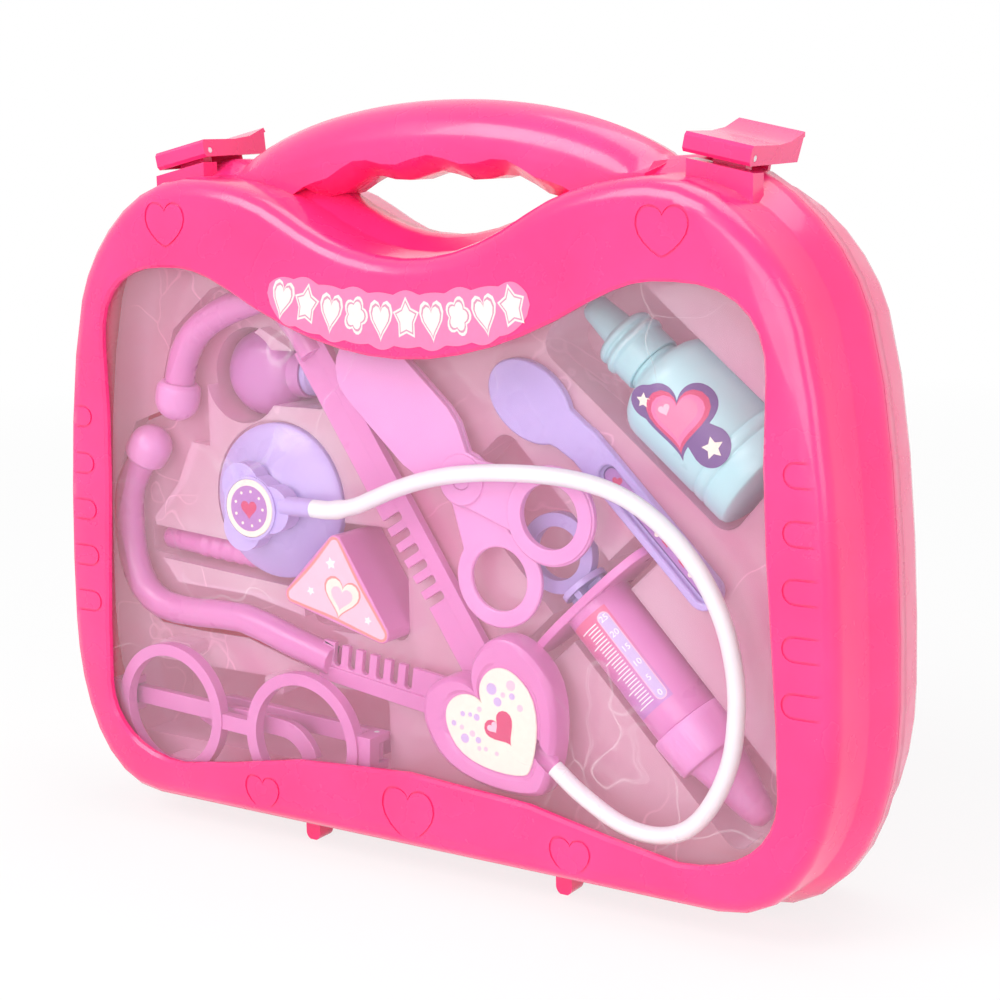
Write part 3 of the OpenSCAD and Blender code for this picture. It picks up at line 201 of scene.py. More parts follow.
def creases(nodes, links, scale, width):
    """Thin wandering lines: 1 on a line, 0 beside it."""
    place = nodes.new("ShaderNodeTexCoord")
    push = nodes.new("ShaderNodeTexNoise")
    push.inputs["Scale"].default_value = scale * 1.6
    push.inputs["Detail"].default_value = 2
    links.new(place.outputs["Object"], push.inputs["Vector"])
    shift = nodes.new("ShaderNodeVectorMath")
    shift.operation = "MULTIPLY_ADD"
    shift.inputs[1].default_value = (0.05, 0.05, 0.05)
    links.new(push.outputs["Color"], shift.inputs[0])
    links.new(place.outputs["Object"], shift.inputs[2])
    cells = nodes.new("ShaderNodeTexVoronoi")
    cells.feature = "DISTANCE_TO_EDGE"
    cells.inputs["Scale"].default_value = scale
    links.new(shift.outputs["Vector"], cells.inputs["Vector"])
    line = spread(nodes, links, cells.outputs["Distance"], 0, width, 1, 0)
    fade = spread(nodes, links, noise(nodes, links, scale * 0.8, 2), 0.48, 0.62, 0, 1)
    return combined(nodes, links, "MULTIPLY", line, fade)


def clear_sheet(name, dark, light, haze, edge_haze, through, wrinkle, scale, gloss, ior, crease,
                stretch=(1, 1, 1), painted_glow=0.0):
    """Clear sheet: mostly see-through, a little milk in it, gloss that the wrinkles break up.

    haze and edge_haze are the milk's share seen head on and edge on, wrinkle and scale are the dents',
    crease is (scale, width, share of milk), and painted_glow is painted light: the milk glows in its own
    colour, so the sheet looks lit where it lies in shade.
    """
    m, nodes, links = new_material(name)
    out = nodes.new("ShaderNodeOutputMaterial")
    clear = nodes.new("ShaderNodeBsdfTransparent")
    clear.inputs["Color"].default_value = through
    milk = nodes.new("ShaderNodeBsdfPrincipled")
    cloud = tint(nodes, links, noise(nodes, links, 13, 3), dark, light)
    links.new(cloud, milk.inputs["Base Color"])
    # Painted light: the milk glows in its own colour, brightening the sheet where it lies in shade
    links.new(cloud, milk.inputs["Emission Color"])
    milk.inputs["Emission Strength"].default_value = painted_glow
    milk.inputs["Roughness"].default_value = 0.3
    shine = nodes.new("ShaderNodeBsdfGlossy")
    shine.inputs["Roughness"].default_value = gloss
    shine.inputs["Color"].default_value = (1, 1, 1, 1)
    normal = bumps(nodes, links, [
        (noise(nodes, links, scale, 3, stretch), wrinkle, 0.0025),
        (noise(nodes, links, scale * 4, 2, stretch), wrinkle * 0.35, 0.0008)])
    for shader in (milk, shine):
        links.new(normal, shader.inputs["Normal"])
    body = nodes.new("ShaderNodeMixShader")
    facing = nodes.new("ShaderNodeLayerWeight")
    facing.inputs["Blend"].default_value = 0.35
    links.new(normal, facing.inputs["Normal"])
    amount = spread(nodes, links, facing.outputs["Facing"], 0, 1, haze, edge_haze)
    lines = creases(nodes, links, *crease[:2])
    links.new(combined(nodes, links, "MULTIPLY_ADD", lines, crease[2], amount), body.inputs["Fac"])
    links.new(clear.outputs["BSDF"], body.inputs[1])
    links.new(milk.outputs["BSDF"], body.inputs[2])
    skin = nodes.new("ShaderNodeMixShader")
    rim = nodes.new("ShaderNodeLayerWeight")
    rim.inputs["Blend"].default_value = 0.5
    links.new(normal, rim.inputs["Normal"])
    steep = combined(nodes, links, "POWER", rim.outputs["Facing"], 4)
    head_on = ((ior - 1) / (ior + 1)) ** 2
    links.new(spread(nodes, links, steep, 0, 1, head_on, 0.85), skin.inputs["Fac"])
    links.new(body.outputs["Shader"], skin.inputs[1])
    links.new(shine.outputs["BSDF"], skin.inputs[2])
    links.new(skin.outputs["Shader"], out.inputs["Surface"])
    return m


def film_finish(nodes, links, colour, rough):
    """The gloss and slight unevenness of printed film, under a colour socket."""
    p = nodes.new("ShaderNodeBsdfPrincipled")
    out = nodes.new("ShaderNodeOutputMaterial")
    links.new(colour, p.inputs["Base Color"])
    p.inputs["Roughness"].default_value = rough
    links.new(bumps(nodes, links, [(noise(nodes, links, 160, 2), 0.12, 0.0003)]), p.inputs["Normal"])
    links.new(p.outputs["BSDF"], out.inputs["Surface"])


def printed(name, colour):
    """Even ink with a slight mottle."""
    m, nodes, links = new_material(name)
    dark = tuple(c * 0.94 for c in colour[:3]) + (1,)
    film_finish(nodes, links, tint(nodes, links, noise(nodes, links, 600, 4), dark, colour), 0.38)
    return m


def faded_ink(name, low_colour, high_colour, slope, start, end):
    """Ink that fades from one colour to another along z, less slope times x, in metres."""
    m, nodes, links = new_material(name)
    where = nodes.new("ShaderNodeTexCoord")
    split = nodes.new("ShaderNodeSeparateXYZ")
    links.new(where.outputs["Object"], split.inputs["Vector"])
    ramp = nodes.new("ShaderNodeValToRGB")
    ramp.color_ramp.elements[0].color = low_colour
    ramp.color_ramp.elements[1].color = high_colour
    along = combined(nodes, links, "MULTIPLY_ADD", split.outputs["X"], -slope, split.outputs["Z"])
    links.new(spread(nodes, links, along, start, end, 0, 1), ramp.inputs["Fac"])
    film_finish(nodes, links, ramp.outputs["Color"], 0.35)
    return m


PINK = plastic("shell_pink", srgb(246, 42, 120), srgb(251, 54, 132), rough=0.24, glow=0.12, coat=0.35,
               wave=0.12, grain=0.03)
ORCHID = plastic("orchid", srgb(220, 118, 188), srgb(230, 134, 200), rough=0.3, glow=0.1)
ROSE = plastic("rose", srgb(232, 140, 208), srgb(240, 156, 216), rough=0.3, glow=0.1)
LILAC = plastic("lilac", srgb(186, 158, 224), srgb(200, 174, 234), rough=0.28, glow=0.1)
AQUA = plastic("aqua", srgb(176, 220, 228), srgb(192, 230, 236), rough=0.32, glow=0.15)
TUBE = plastic("white_tube", srgb(236, 234, 238), srgb(248, 246, 248), rough=0.35, glow=0.15, wave=0.1,
               grain=0.15)
WHITE = plastic("pin_white", srgb(226, 224, 228), srgb(240, 238, 240), rough=0.4)
MAUVE = plastic("mauve", srgb(196, 110, 180), srgb(210, 128, 194), rough=0.3, glow=0.1)
FILM = clear_sheet("window_clear", srgb(250, 240, 246), srgb(255, 250, 253), haze=0.03, edge_haze=0.08,
                   through=(0.99, 0.98, 0.985, 1), wrinkle=0.2, scale=14, gloss=0.12, ior=1.33,
                   crease=(16, 0.006, 0.12), stretch=(1, 1, 0.6))
# The tray's milk glows a little: painted light that brightens the tray where the shell shades it
TRAY = clear_sheet("tray_clear", srgb(236, 140, 190), srgb(244, 220, 234), haze=0.36, edge_haze=0.74,
                   through=(1, 0.95, 0.975, 1), wrinkle=0.45, scale=26, gloss=0.08, ior=1.5,
                   crease=(22, 0.014, 0.25), painted_glow=0.12)
INK = {
    "white": printed("ink_white", srgb(252, 248, 250)),
    "cream": printed("ink_cream", srgb(252, 236, 222)),
    "blush": printed("ink_blush", srgb(250, 196, 216)),
    "pink": printed("ink_pink", srgb(240, 110, 170)),
    "candy": printed("ink_candy", srgb(250, 122, 168)),
    "bone": printed("ink_bone", srgb(234, 220, 216)),
    "dusk": printed("ink_dusk", srgb(206, 140, 168)),
    "salmon": printed("ink_salmon", srgb(246, 142, 140)),
    "rose": printed("ink_rose", srgb(216, 40, 110)),
    "mauve": printed("ink_mauve", srgb(186, 120, 196)),
    "lilac": printed("ink_lilac", srgb(206, 178, 228)),
    "plum": printed("ink_plum", srgb(112, 62, 140)),
}
SCALE_INK = faded_ink("ink_scale", srgb(196, 130, 206), srgb(232, 92, 134), 0.9, -0.012, 0.042)
FINISH = {
    "shell_pink": PINK, "orchid": ORCHID, "rose": ROSE, "lilac": LILAC, "aqua": AQUA, "white_tube": TUBE,
    "pin_white": WHITE, "label": INK["cream"], "window_clear": FILM, "tray_clear": TRAY,
}
SLOT_OF = {
    "shell_pink": ["front_shell", "rear_shell", "latch_left", "latch_right"],
    "window_clear": ["window_film"], "tray_clear": ["blister_tray"],
    "pin_white": ["hinge_pin_left", "hinge_pin_right", "latch_pin_left", "latch_pin_right", "temple_pin_left",
                  "temple_pin_right", "plunger_seal"],
    "orchid": ["stethoscope_hub", "headset_arm_upper", "headset_arm_lower", "syringe_barrel", "glasses_front",
               "temple_left", "temple_right", "hammer_handle", "hammer_head", "otoscope_head"],
    "rose": ["ear_tip_upper", "ear_tip_lower", "scissors_front", "scissors_back", "scissors_rivet",
             "syringe_tip"],
    "lilac": ["chest_bell", "chest_diaphragm", "chest_knob", "tongue_depressor", "syringe_plunger",
              "otoscope_cone"],
    "aqua": ["bottle_body", "bottle_cap", "bottle_nozzle"],
    "label": ["hub_plate", "chest_plate"],
}


# ---- meshes ---------------------------------------------------------------------------------

def put(name, mesh, material, body, node=None):
    """Adds a piece to the scene on its body, in place of a CAD node where one is given."""
    obj = bpy.data.objects.new(name, mesh)
    bpy.context.collection.objects.link(obj)
    obj.data.materials.clear()
    obj.data.materials.append(material)
    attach(obj, body)
    if node:
        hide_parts(node)
    return obj


def smooth(mesh, degrees):
    """Smooth shading, with edges that turn by more than the angle kept sharp."""
    bm = bmesh.new()
    bm.from_mesh(mesh)
    for f in bm.faces:
        f.smooth = True
    for e in bm.edges:
        e.smooth = len(e.link_faces) == 2 and e.calc_face_angle(0) < math.radians(degrees)
    bm.to_mesh(mesh)
    bm.free()


def body_of(node):
    """The name of the body that a CAD node is on."""
    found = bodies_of(NODES[node])
    return found if isinstance(found, str) else found[0]


# Edges that turn by more than this, in degrees, stay sharp or get a bevel
SHARP = 38
# Bevel widths in millimetres; the lofted shells and the film keep their own edges
EDGE = 0.3
BEVELS = {
    "front_shell": 0, "rear_shell": 0, "window_film": 0, "blister_tray": 0.7, "latch_left": 0.5,
    "latch_right": 0.5, "scissors_front": 0.5, "scissors_back": 0.5, "hammer_head": 0.9, "glasses_front": 0.8,
    "stethoscope_hub": 0.4, "tongue_depressor": 0.6,
}
# Pieces with large flat faces, whose shading is kept flat beside the bevels
FLAT = ("latch_left", "latch_right", "scissors_front", "scissors_back", "glasses_front", "temple_left",
        "temple_right", "hammer_head", "tongue_depressor", "stethoscope_hub", "syringe_plunger")


def dress(node, slot, bevel):
    """A rounded copy of a CAD node: seams welded, flat faces joined, edges broken as on moulded parts."""
    mesh = NODES[node].data.copy()
    bm = bmesh.new()
    bm.from_mesh(mesh)
    bmesh.ops.remove_doubles(bm, verts=bm.verts, dist=2e-6)
    bmesh.ops.dissolve_degenerate(bm, edges=bm.edges, dist=1e-6)
    bmesh.ops.dissolve_limit(bm, angle_limit=math.radians(0.6), verts=bm.verts, edges=bm.edges)
    bm.to_mesh(mesh)
    bm.free()
    smooth(mesh, SHARP)
    material = MAUVE if node == "otoscope_head" else FINISH[slot]
    obj = put(node + "_dressed", mesh, material, body_of(node), node)
    if bevel:
        b = obj.modifiers.new("edges", "BEVEL")
        b.limit_method = "ANGLE"
        b.angle_limit = math.radians(SHARP)
        b.width = bevel / 1000
        b.segments = 2
        if node in FLAT:
            obj.modifiers.new("normals", "WEIGHTED_NORMAL").keep_sharp = True


for slot_name, nodes_here in SLOT_OF.items():
    for node_name in nodes_here:
        dress(node_name, slot_name, BEVELS.get(node_name, EDGE))


# ---- placing and shapes for the printed work ------------------------------------------------

# In millimetres: the height of the feet, and half of the case's depth. Depths count from the front.
FOOT, HALF = 9.0, 32.0


def lay(x, z, back_d, turn):
    """Places flat work upright in the case's plane; w comes towards the window."""
    c, s = math.cos(math.radians(turn)), math.sin(math.radians(turn))
    return lambda u, v, w: Vector((x + u * c - v * s, back_d - HALF - w, z + FOOT + u * s + v * c)) / 1000


def lean(x, z, axis_d, a):
    """Places a turned piece whose axis, w, points along an angle in the case's plane."""
    c, s = math.cos(math.radians(a)), math.sin(math.radians(a))
    return lambda u, v, w: Vector((x + w * c + u * s, axis_d - HALF + v, z + FOOT + w * s - u * c)) / 1000


def heart(w, h, n=14):
    """A plain heart, its middle at 0, point down."""
    out = []
    for i in range(2 * n):
        t = math.tau * i / (2 * n)
        x = 16 * math.sin(t) ** 3
        y = 13 * math.cos(t) - 5 * math.cos(2 * t) - 2 * math.cos(3 * t) - math.cos(4 * t)
        out.append((x / 32 * w, (y + 2.5) / 29 * h))
    return out[::-1]


def disc(r, n):
    """A circle of n points."""
    return [(r * math.cos(math.tau * i / n), r * math.sin(math.tau * i / n)) for i in range(n)]


def star(r, k=0.5, points=5):
    """A star; k is the inner radius over the outer one."""
    out = []
    for i in range(2 * points):
        a = math.pi * i / points + math.pi / 2
        far = r * k if i % 2 else r
        out.append((far * math.cos(a), far * math.sin(a)))
    return out


def flower(r, petals=5, n=30):
    """Round petals whose tips are r from the middle."""
    out = []
    for i in range(n):
        far = r * (0.72 + 0.28 * abs(math.cos(petals * math.pi * i / n)))
        out.append((far * math.cos(math.tau * i / n), far * math.sin(math.tau * i / n)))
    return out


def moved(loop, x, y, turn=0, k=1):
    """A loop scaled by k, turned by degrees and then moved."""
    c, s = math.cos(math.radians(turn)) * k, math.sin(math.radians(turn)) * k
    return [(x + u * c - v * s, y + u * s + v * c) for u, v in loop]


def inked(name, loops, place, w0, w1, material, body, cut=0):
    """Flat shapes of printed film, w0 to w1 above their seat. With cut, faces are cut up so they bend."""
    bm = bmesh.new()
    for loop in loops:
        rings = []
        for w in (w0, w1):
            rings.append([bm.verts.new((u, v, w)) for u, v in loop])
        n = len(loop)
        for i in range(n):
            bm.faces.new((rings[0][i], rings[0][(i + 1) % n], rings[1][(i + 1) % n], rings[1][i]))
        bm.faces.new(rings[1])
        bm.faces.new(rings[0][::-1])
    bm.normal_update()
    bmesh.ops.triangulate(bm, faces=[f for f in bm.faces if len(f.verts) > 4])
    if cut:
        for axis in (0, 1):
            lows = min(v.co[axis] for v in bm.verts)
            highs = max(v.co[axis] for v in bm.verts)
            at = lows + cut
            while at < highs:
                normal = Vector((1 - axis, axis, 0))
                bmesh.ops.bisect_plane(bm, geom=bm.verts[:] + bm.edges[:] + bm.faces[:], plane_co=normal * at,
                                       plane_no=normal)
                at += cut
    for v in bm.verts:
        v.co = place(*v.co)
    bmesh.ops.recalc_face_normals(bm, faces=bm.faces)
    mesh = bpy.data.meshes.new(name)
    bm.to_mesh(mesh)
    bm.free()
    smooth(mesh, 30)
    put(name, mesh, material, body)


def written(text, size, x, y, turn):
    """Plain numbers as triangles (loops of three points), for inked()."""
    curve = bpy.data.curves.new("t", "FONT")
    curve.body = text
    curve.size = size
    curve.align_x = "CENTER"
    curve.align_y = "CENTER"
    curve.resolution_u = 3
    temp = bpy.data.objects.new("t", curve)
    bpy.context.collection.objects.link(temp)
    bpy.context.view_layer.update()
    mesh = bpy.data.meshes.new_from_object(temp.evaluated_get(bpy.context.evaluated_depsgraph_get()))
    loops = []
    mesh.calc_loop_triangles()
    for t in mesh.loop_triangles:
        tri = [(mesh.vertices[i].co.x, mesh.vertices[i].co.y) for i in t.vertices]
        loops.append(moved(tri, x, y, turn))
    bpy.data.objects.remove(temp)
    bpy.data.curves.remove(curve)
    bpy.data.meshes.remove(mesh)
    return loops


# ---- sticker on the band above the window ---------------------------------------------------

BAND_Z, BAND_BOW = 164.4, 0.0029
# Printed shapes stand STEP apart from x = FIRST on: 0 is a heart, 1 a star and 2 a flower
STEP, FIRST = 9.25, -42.2
KINDS = (0, 1, 0, 2, 0, 1, 0, 2, 0, 1)


def band_mid(x):
    """Middle line of the band sticker, in millimetres above the feet."""
    return BAND_Z + BAND_BOW * x * x


def band_loop(out, n=100):
    """The sticker's contour, scalloped round each printed shape."""
    past = 5.3
    top, bottom = [], []
    for i in range(n + 1):
        x = FIRST - past - out + ((len(KINDS) - 1) * STEP + 2 * past + 2 * out) * i / n
        end = math.sqrt(max(0, 1 - abs(2 * i / n - 1) ** 9))
        wave = math.cos(math.pi * (x - FIRST) / STEP)
        middle = band_mid(x) - 0.45 * wave
        half = (6.9 + abs(wave) + out) * end
        top.append((x, middle + half))
        bottom.append((x, middle - half))
    return bottom + top[::-1]


front = lay(0, 0, 0, 0)
inked("band_sticker", [band_loop(0.6)], front, -0.05, 0.14, INK["candy"], "lid")
SHAPES = (heart(8.6, 12.4, 10),
          [(x, y * 1.36) for x, y in star(4.9, 0.62)],
          [(x, y * 1.3) for x, y in flower(4.6)])
# Each motif in three layers: ink, size and height
for ink, k, w in (("bone", 1.0, 0.13), ("dusk", 0.84, 0.17), ("bone", 0.72, 0.21)):
    motifs = []
    for i, kind in enumerate(KINDS):
        x = FIRST + i * STEP
        tilt = math.degrees(math.atan(2 * BAND_BOW * x))
        motifs.append(moved(SHAPES[kind], x, band_mid(x) + (0.5 if i % 2 else -0.4), tilt, k))
    inked("band_sticker_shapes_" + str(int(w * 100)), motifs, front, w, w + 0.05, INK[ink], "lid")

# ---- hub, chest piece and hammer prints -----------------------------------------------------

HUB_X, HUB_Z, HUB_BACK, HUB_TURN = 30.6, 42.4, 14.1, 38
hub = lay(HUB_X, HUB_Z, HUB_BACK, HUB_TURN)
hub_top = HUB_BACK - HALF - 1000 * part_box("hub_plate")[0].y
# Dots strewn over the heart, clear of its edge, of each other and of the small heart in the middle
SEED, TRIES = 4, 400
rng = random.Random(SEED)
dots = {"lilac": [], "blush": []}
placed = [(1, -1, 6.2)]
edge = heart(31, 30, 40)
for i in range(TRIES):
    u, v, r = rng.uniform(-15, 15), rng.uniform(-14, 14), rng.uniform(0.7, 1.9)
    crossed = [a for (a, b), (c, d) in zip(edge, edge[1:] + edge[:1]) if (b > v) != (d > v) and a > u]
    inside = len(crossed) % 2 and min(math.hypot(u - a, v - b) for a, b in edge) > r + 0.8
    if inside and all(math.hypot(u - a, v - b) > r + q + 0.5 for a, b, q in placed):
        placed.append((u, v, r))
        dots["lilac" if len(placed) % 2 else "blush"].append(moved(disc(r, 16), u, v))
for ink, loops in dots.items():
    inked("hub_dots_" + ink, loops, hub, hub_top - 0.03, hub_top + 0.03, INK[ink], "case")
inked("hub_heart", [moved(heart(11, 10.5), 1, -1)], hub, hub_top + 0.02, hub_top + 0.08, INK["rose"], "case")
inked("hub_heart_core", [moved(heart(4, 3.4), -1.2, 1.2)], hub, hub_top + 0.07, hub_top + 0.11, INK["blush"],
      "case")

low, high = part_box("chest_plate")
chest_top = -1000 * low.y - HALF
chest = lay(1000 * (low.x + high.x) / 2, 1000 * (low.z + high.z) / 2 - FOOT, 0, 0)
RING_R = 5.6
ring = [moved(disc(0.5, 10), RING_R * math.cos(a * 0.7), RING_R * math.sin(a * 0.7)) for a in range(9)]
inked("chest_disc", [disc(7.4, 40)], chest, chest_top - 0.05, chest_top + 0.05, INK["mauve"], "case")
inked("chest_heart", [moved(heart(6.4, 6), 0, -0.6)], chest, chest_top + 0.04, chest_top + 0.1, INK["rose"],
      "case")
inked("chest_dots", ring, chest, chest_top + 0.04, chest_top + 0.1, INK["cream"], "case")

# The middles of the hammer face's round corners, their radius, and its heart's place
HAMMER = ((-31.6, 92.4), (-49, 74.5), (-14.5, 65.5))
HAMMER_R = 3
HAMMER_HEART = (-29.5, 75, -12)


def rounded_triangle(inset, hollow):
    """The hammer face's outline, moved in, with round corners and slightly hollow sides."""
    r = HAMMER_R - inset
    mx = sum(p[0] for p in HAMMER) / 3
    mz = sum(p[1] for p in HAMMER) / 3
    out = []
    for i in range(3):
        a, b, c = HAMMER[i - 1], HAMMER[i], HAMMER[(i + 1) % 3]
        before = math.atan2(b[1] - a[1], b[0] - a[0]) - math.pi / 2
        after = math.atan2(c[1] - b[1], c[0] - b[0]) - math.pi / 2
        while after < before:
            after += math.tau
        for k in range(6):
            t = before + (after - before) * k / 5
            out.append((b[0] + r * math.cos(t), b[1] + r * math.sin(t)))
        for k in range(1, 8):
            t = k / 8
            pull = hollow * math.sin(math.pi * t)
            x = b[0] + (c[0] - b[0]) * t + r * math.cos(after)
            z = b[1] + (c[1] - b[1]) * t + r * math.sin(after)
            far = math.hypot(mx - x, mz - z)
            out.append((x + (mx - x) / far * pull, z + (mz - z) / far * pull))
    return out


head_top = -1000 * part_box("hammer_head")[0].y - HALF
stars = [moved(star(2.1), -33.2, 86.2, 10),
         moved(star(1.6), -41.5, 76.5, 30),
         moved(star(1.5), -19.3, 69.4, -20)]
for name, loops, low, high, ink in (
        ("hammer_print_edge", [rounded_triangle(0.5, 0.5)], -0.03, 0.05, "salmon"),
        ("hammer_print", [rounded_triangle(1.4, 0.6)], 0.04, 0.09, "blush"),
        ("hammer_heart_edge", [moved(heart(14.5, 13.5), *HAMMER_HEART)], 0.08, 0.12, "salmon"),
        ("hammer_heart", [moved(heart(13.1, 12.1), *HAMMER_HEART)], 0.11, 0.15, "cream"),
        ("hammer_heart_core", [moved(heart(8.4, 7.6), *HAMMER_HEART)], 0.14, 0.18, "blush"),
        ("hammer_stars", stars, 0.08, 0.13, "white")):
    inked(name, loops, front, head_top + low, head_top + high, INK[ink], "case")

# ---- tongue depressor strip -----------------------------------------------------------------

# The recess's middle, in the depressor's own plane
RECESS = (55, 4.5)
SPACING = 7.6
spatula = lay(36, 140.5, 19.1, -45)


def rounded_box(w, h, r, n=5):
    """A rectangle with round corners."""
    out = []
    for cx, cy, start in ((1, 1, 0), (-1, 1, 90), (-1, -1, 180), (1, -1, 270)):
        for k in range(n + 1):
            t = math.radians(start + 90 * k / n)
            out.append((cx * (w / 2 - r) + r * math.cos(t), cy * (h / 2 - r) + r * math.sin(t)))
    return out


hearts = [moved(heart(3.4, 3.2), 36 + SPACING * i, RECESS[1], 45) for i in range(6)]
specks = [moved(disc(0.8, 12), 39.8 + SPACING * i, RECESS[1] + (0.8 if i % 2 else -0.8)) for i in range(5)]
for name, loops, low, high, ink in (
        ("spatula_strip", [moved(rounded_box(48.6, 5.4, 2.4), *RECESS)], 0.98, 1.08, "plum"),
        ("spatula_strip_field", [moved(rounded_box(47.6, 4.5, 2.0), *RECESS)], 1.06, 1.12, "mauve"),
        ("spatula_hearts", hearts, 1.11, 1.16, "rose"),
        ("spatula_dots", specks, 1.11, 1.16, "cream")):
    inked(name, loops, spatula, low, high, INK[ink], "case")

# ---- syringe label --------------------------------------------------------------------------

# The barrel's radius, as in the CAD
BARREL_R = 10.8
syringe = lean(54, 82.5, 22, -46.5)


def on_barrel(u, v, w):
    """u runs round the barrel in millimetres from its front line, v along it, w off it."""
    a = u / BARREL_R
    r = BARREL_R + w
    return syringe(r * math.sin(a), -r * math.cos(a), v)


# The label, with a strip of numbers beside a row of ticks: u runs across it and v along the barrel
LABEL = [(-7, 5.5), (8.5, 5.5), (8.5, 38.5), (-7, 38.5)]
STRIP = (-4.35, 22.3)
TICKS_FROM, TICK_STEP, TICK_HALF = 8.6, 1.1, 0.17
# Millimetres between the cuts that let the label bend round the barrel
BEND = 1.2
ticks = []
for i in range(26):
    length = 7.0 if i % 5 == 0 else 4.6
    y = TICKS_FROM + i * TICK_STEP
    low, high = y - TICK_HALF, y + TICK_HALF
    ticks.append([(-1.5, low), (-1.5 + length, low), (-1.5 + length, high), (-1.5, high)])
numbers = []
for i, n in enumerate(("25", "20", "15", "10", "5", "0")):
    numbers += written(n, 2.7, STRIP[0], 8.8 + i * 5.4, 180)
for name, loops, low, high, ink, cut in (
        ("syringe_label", [LABEL], 0.01, 0.1, SCALE_INK, BEND),
        ("syringe_ticks", ticks, 0.09, 0.14, INK["white"], BEND),
        ("syringe_window_edge", [moved(rounded_box(3.9, 31.0, 1.9), *STRIP)], 0.09, 0.12, INK["blush"], BEND),
        ("syringe_window", [moved(rounded_box(3.4, 30.4, 1.7), *STRIP)], 0.11, 0.14, INK["lilac"], BEND),
        ("syringe_numbers", numbers, 0.13, 0.18, INK["white"], 0)):
    inked(name, loops, on_barrel, low, high, ink, "case", cut)

# ---- bottle sticker -------------------------------------------------------------------------

BOTTLE_R = 17.5
bottle = lean(109, 121, 26, 140)


def on_bottle(u, v, w):
    """As on_barrel, for the bottle."""
    a = u / BOTTLE_R
    r = BOTTLE_R + w
    return bottle(r * math.sin(a), -r * math.cos(a), v)


def joined_contour(out, n=120):
    """A heart with lobes at its lower right and upper left, as one contour seen from its middle."""
    main = heart(20.5 + 2 * out, 19.5 + 2 * out, 60)[::2]
    lobes = ((9.5, -7.0, 4.6 + out), (-9.6, 6.0, 3.4 + out))
    loop = []
    for i in range(n):
        x, y = math.cos(math.tau * i / n), math.sin(math.tau * i / n)
        best = 0
        for (a, b), (c, d) in zip(main, main[1:] + main[:1]):
            det = x * (d - b) - y * (c - a)
            if abs(det) > 1e-9:
                far = (a * (d - b) - b * (c - a)) / det
                share = (a * y - b * x) / det
                if far > best and -0.001 <= share <= 1.001:
                    best = far
        for u, v, r in lobes:
            along = u * x + v * y
            gap = u * u + v * v - along * along
            if gap < r * r and along > 0:
                best = max(best, along + math.sqrt(r * r - gap))
        loop.append((best * x, best * y))
    return loop


# The sticker's middle on the bottle and its turn against the bottle's axis
LABEL_AT, LABEL_TURN = (0.8, 26.5), -45


def on_label(loop, x=0, y=0, turn=0):
    """A loop moved within the bottle's sticker, and the sticker moved to its place."""
    return moved(moved(loop, x, y, turn), *LABEL_AT, LABEL_TURN)


stars = [on_label(star(3.3), 10.2, -7.4, 12), on_label(star(2.3), -10.2, 6.4, -10)]
for name, loops, w, ink in (
        ("bottle_sticker", [on_label(joined_contour(1.4))], 0.02, "plum"),
        ("bottle_heart_edge", [on_label(heart(19.2, 18.2))], 0.12, "rose"),
        ("bottle_heart", [on_label(heart(16, 15), 0, 0.2)], 0.17, "pink"),
        ("bottle_heart_core", [on_label(heart(12.6, 11.6), -0.3, 0.7)], 0.22, "candy"),
        ("bottle_heart_gloss", [on_label(heart(3.6, 3.2), -3.6, 3.4, 20)], 0.27, "blush"),
        ("bottle_stars", stars, 0.12, "cream")):
    inked(name, loops, on_bottle, w, w + 0.07, INK[ink], "case", cut=1.5)

# ---- stethoscope tube -----------------------------------------------------------------------

TUBE_DEPTH, TUBE_R = 6.2, 2.62
# How far the tube is pushed over its stub
STUB_L = 9.5
TUBE_ROUTE = (
    (-38, 103.6), (-36, 103.6), (-32.5, 103.6), (-28, 104.2), (-21, 106), (-14, 109), (-6, 112.4), (4, 115.8),
    (14, 118.2), (25, 119.8), (36, 120.6), (46, 120.8), (56, 120.4), (66, 118.8), (75, 115.8), (83, 111.2),
    (90, 105.5), (96, 99), (101, 91.5), (105, 83), (107.5, 74), (108.8, 64.5), (108.6, 54.5), (107.2, 45),
    (104, 36), (99, 27.5), (93, 21.6), (85.5, 18.6), (77.5, 18.4), (70, 20.4), (62.5, 24.2), (56, 28.2),
    (49.5, 33.2))


def curve_points(points, n):
    """Points on a smooth curve through the given ones, n to a stretch."""
    out = []
    for i in range(len(points) - 1):
        a, b, c, d = (Vector(points[min(max(i + k, 0), len(points) - 1)]) for k in (-1, 0, 1, 2))
        for k in range(n):
            t = k / n
            out.append(0.5 * (2 * b + (c - a) * t + (2 * a - 5 * b + 4 * c - d) * t * t
                              + (3 * b - a - 3 * c + d) * t ** 3))
    return out + [Vector(points[-1])]


def tube_radius(run):
    """The tube, thicker where it is pushed over its stub, with a bead at the stub's end."""
    bead = 0.45 * math.exp(-((run - STUB_L - 1) / 1.6) ** 2)
    return TUBE_R + bead + (0.28 if run < STUB_L else 0)


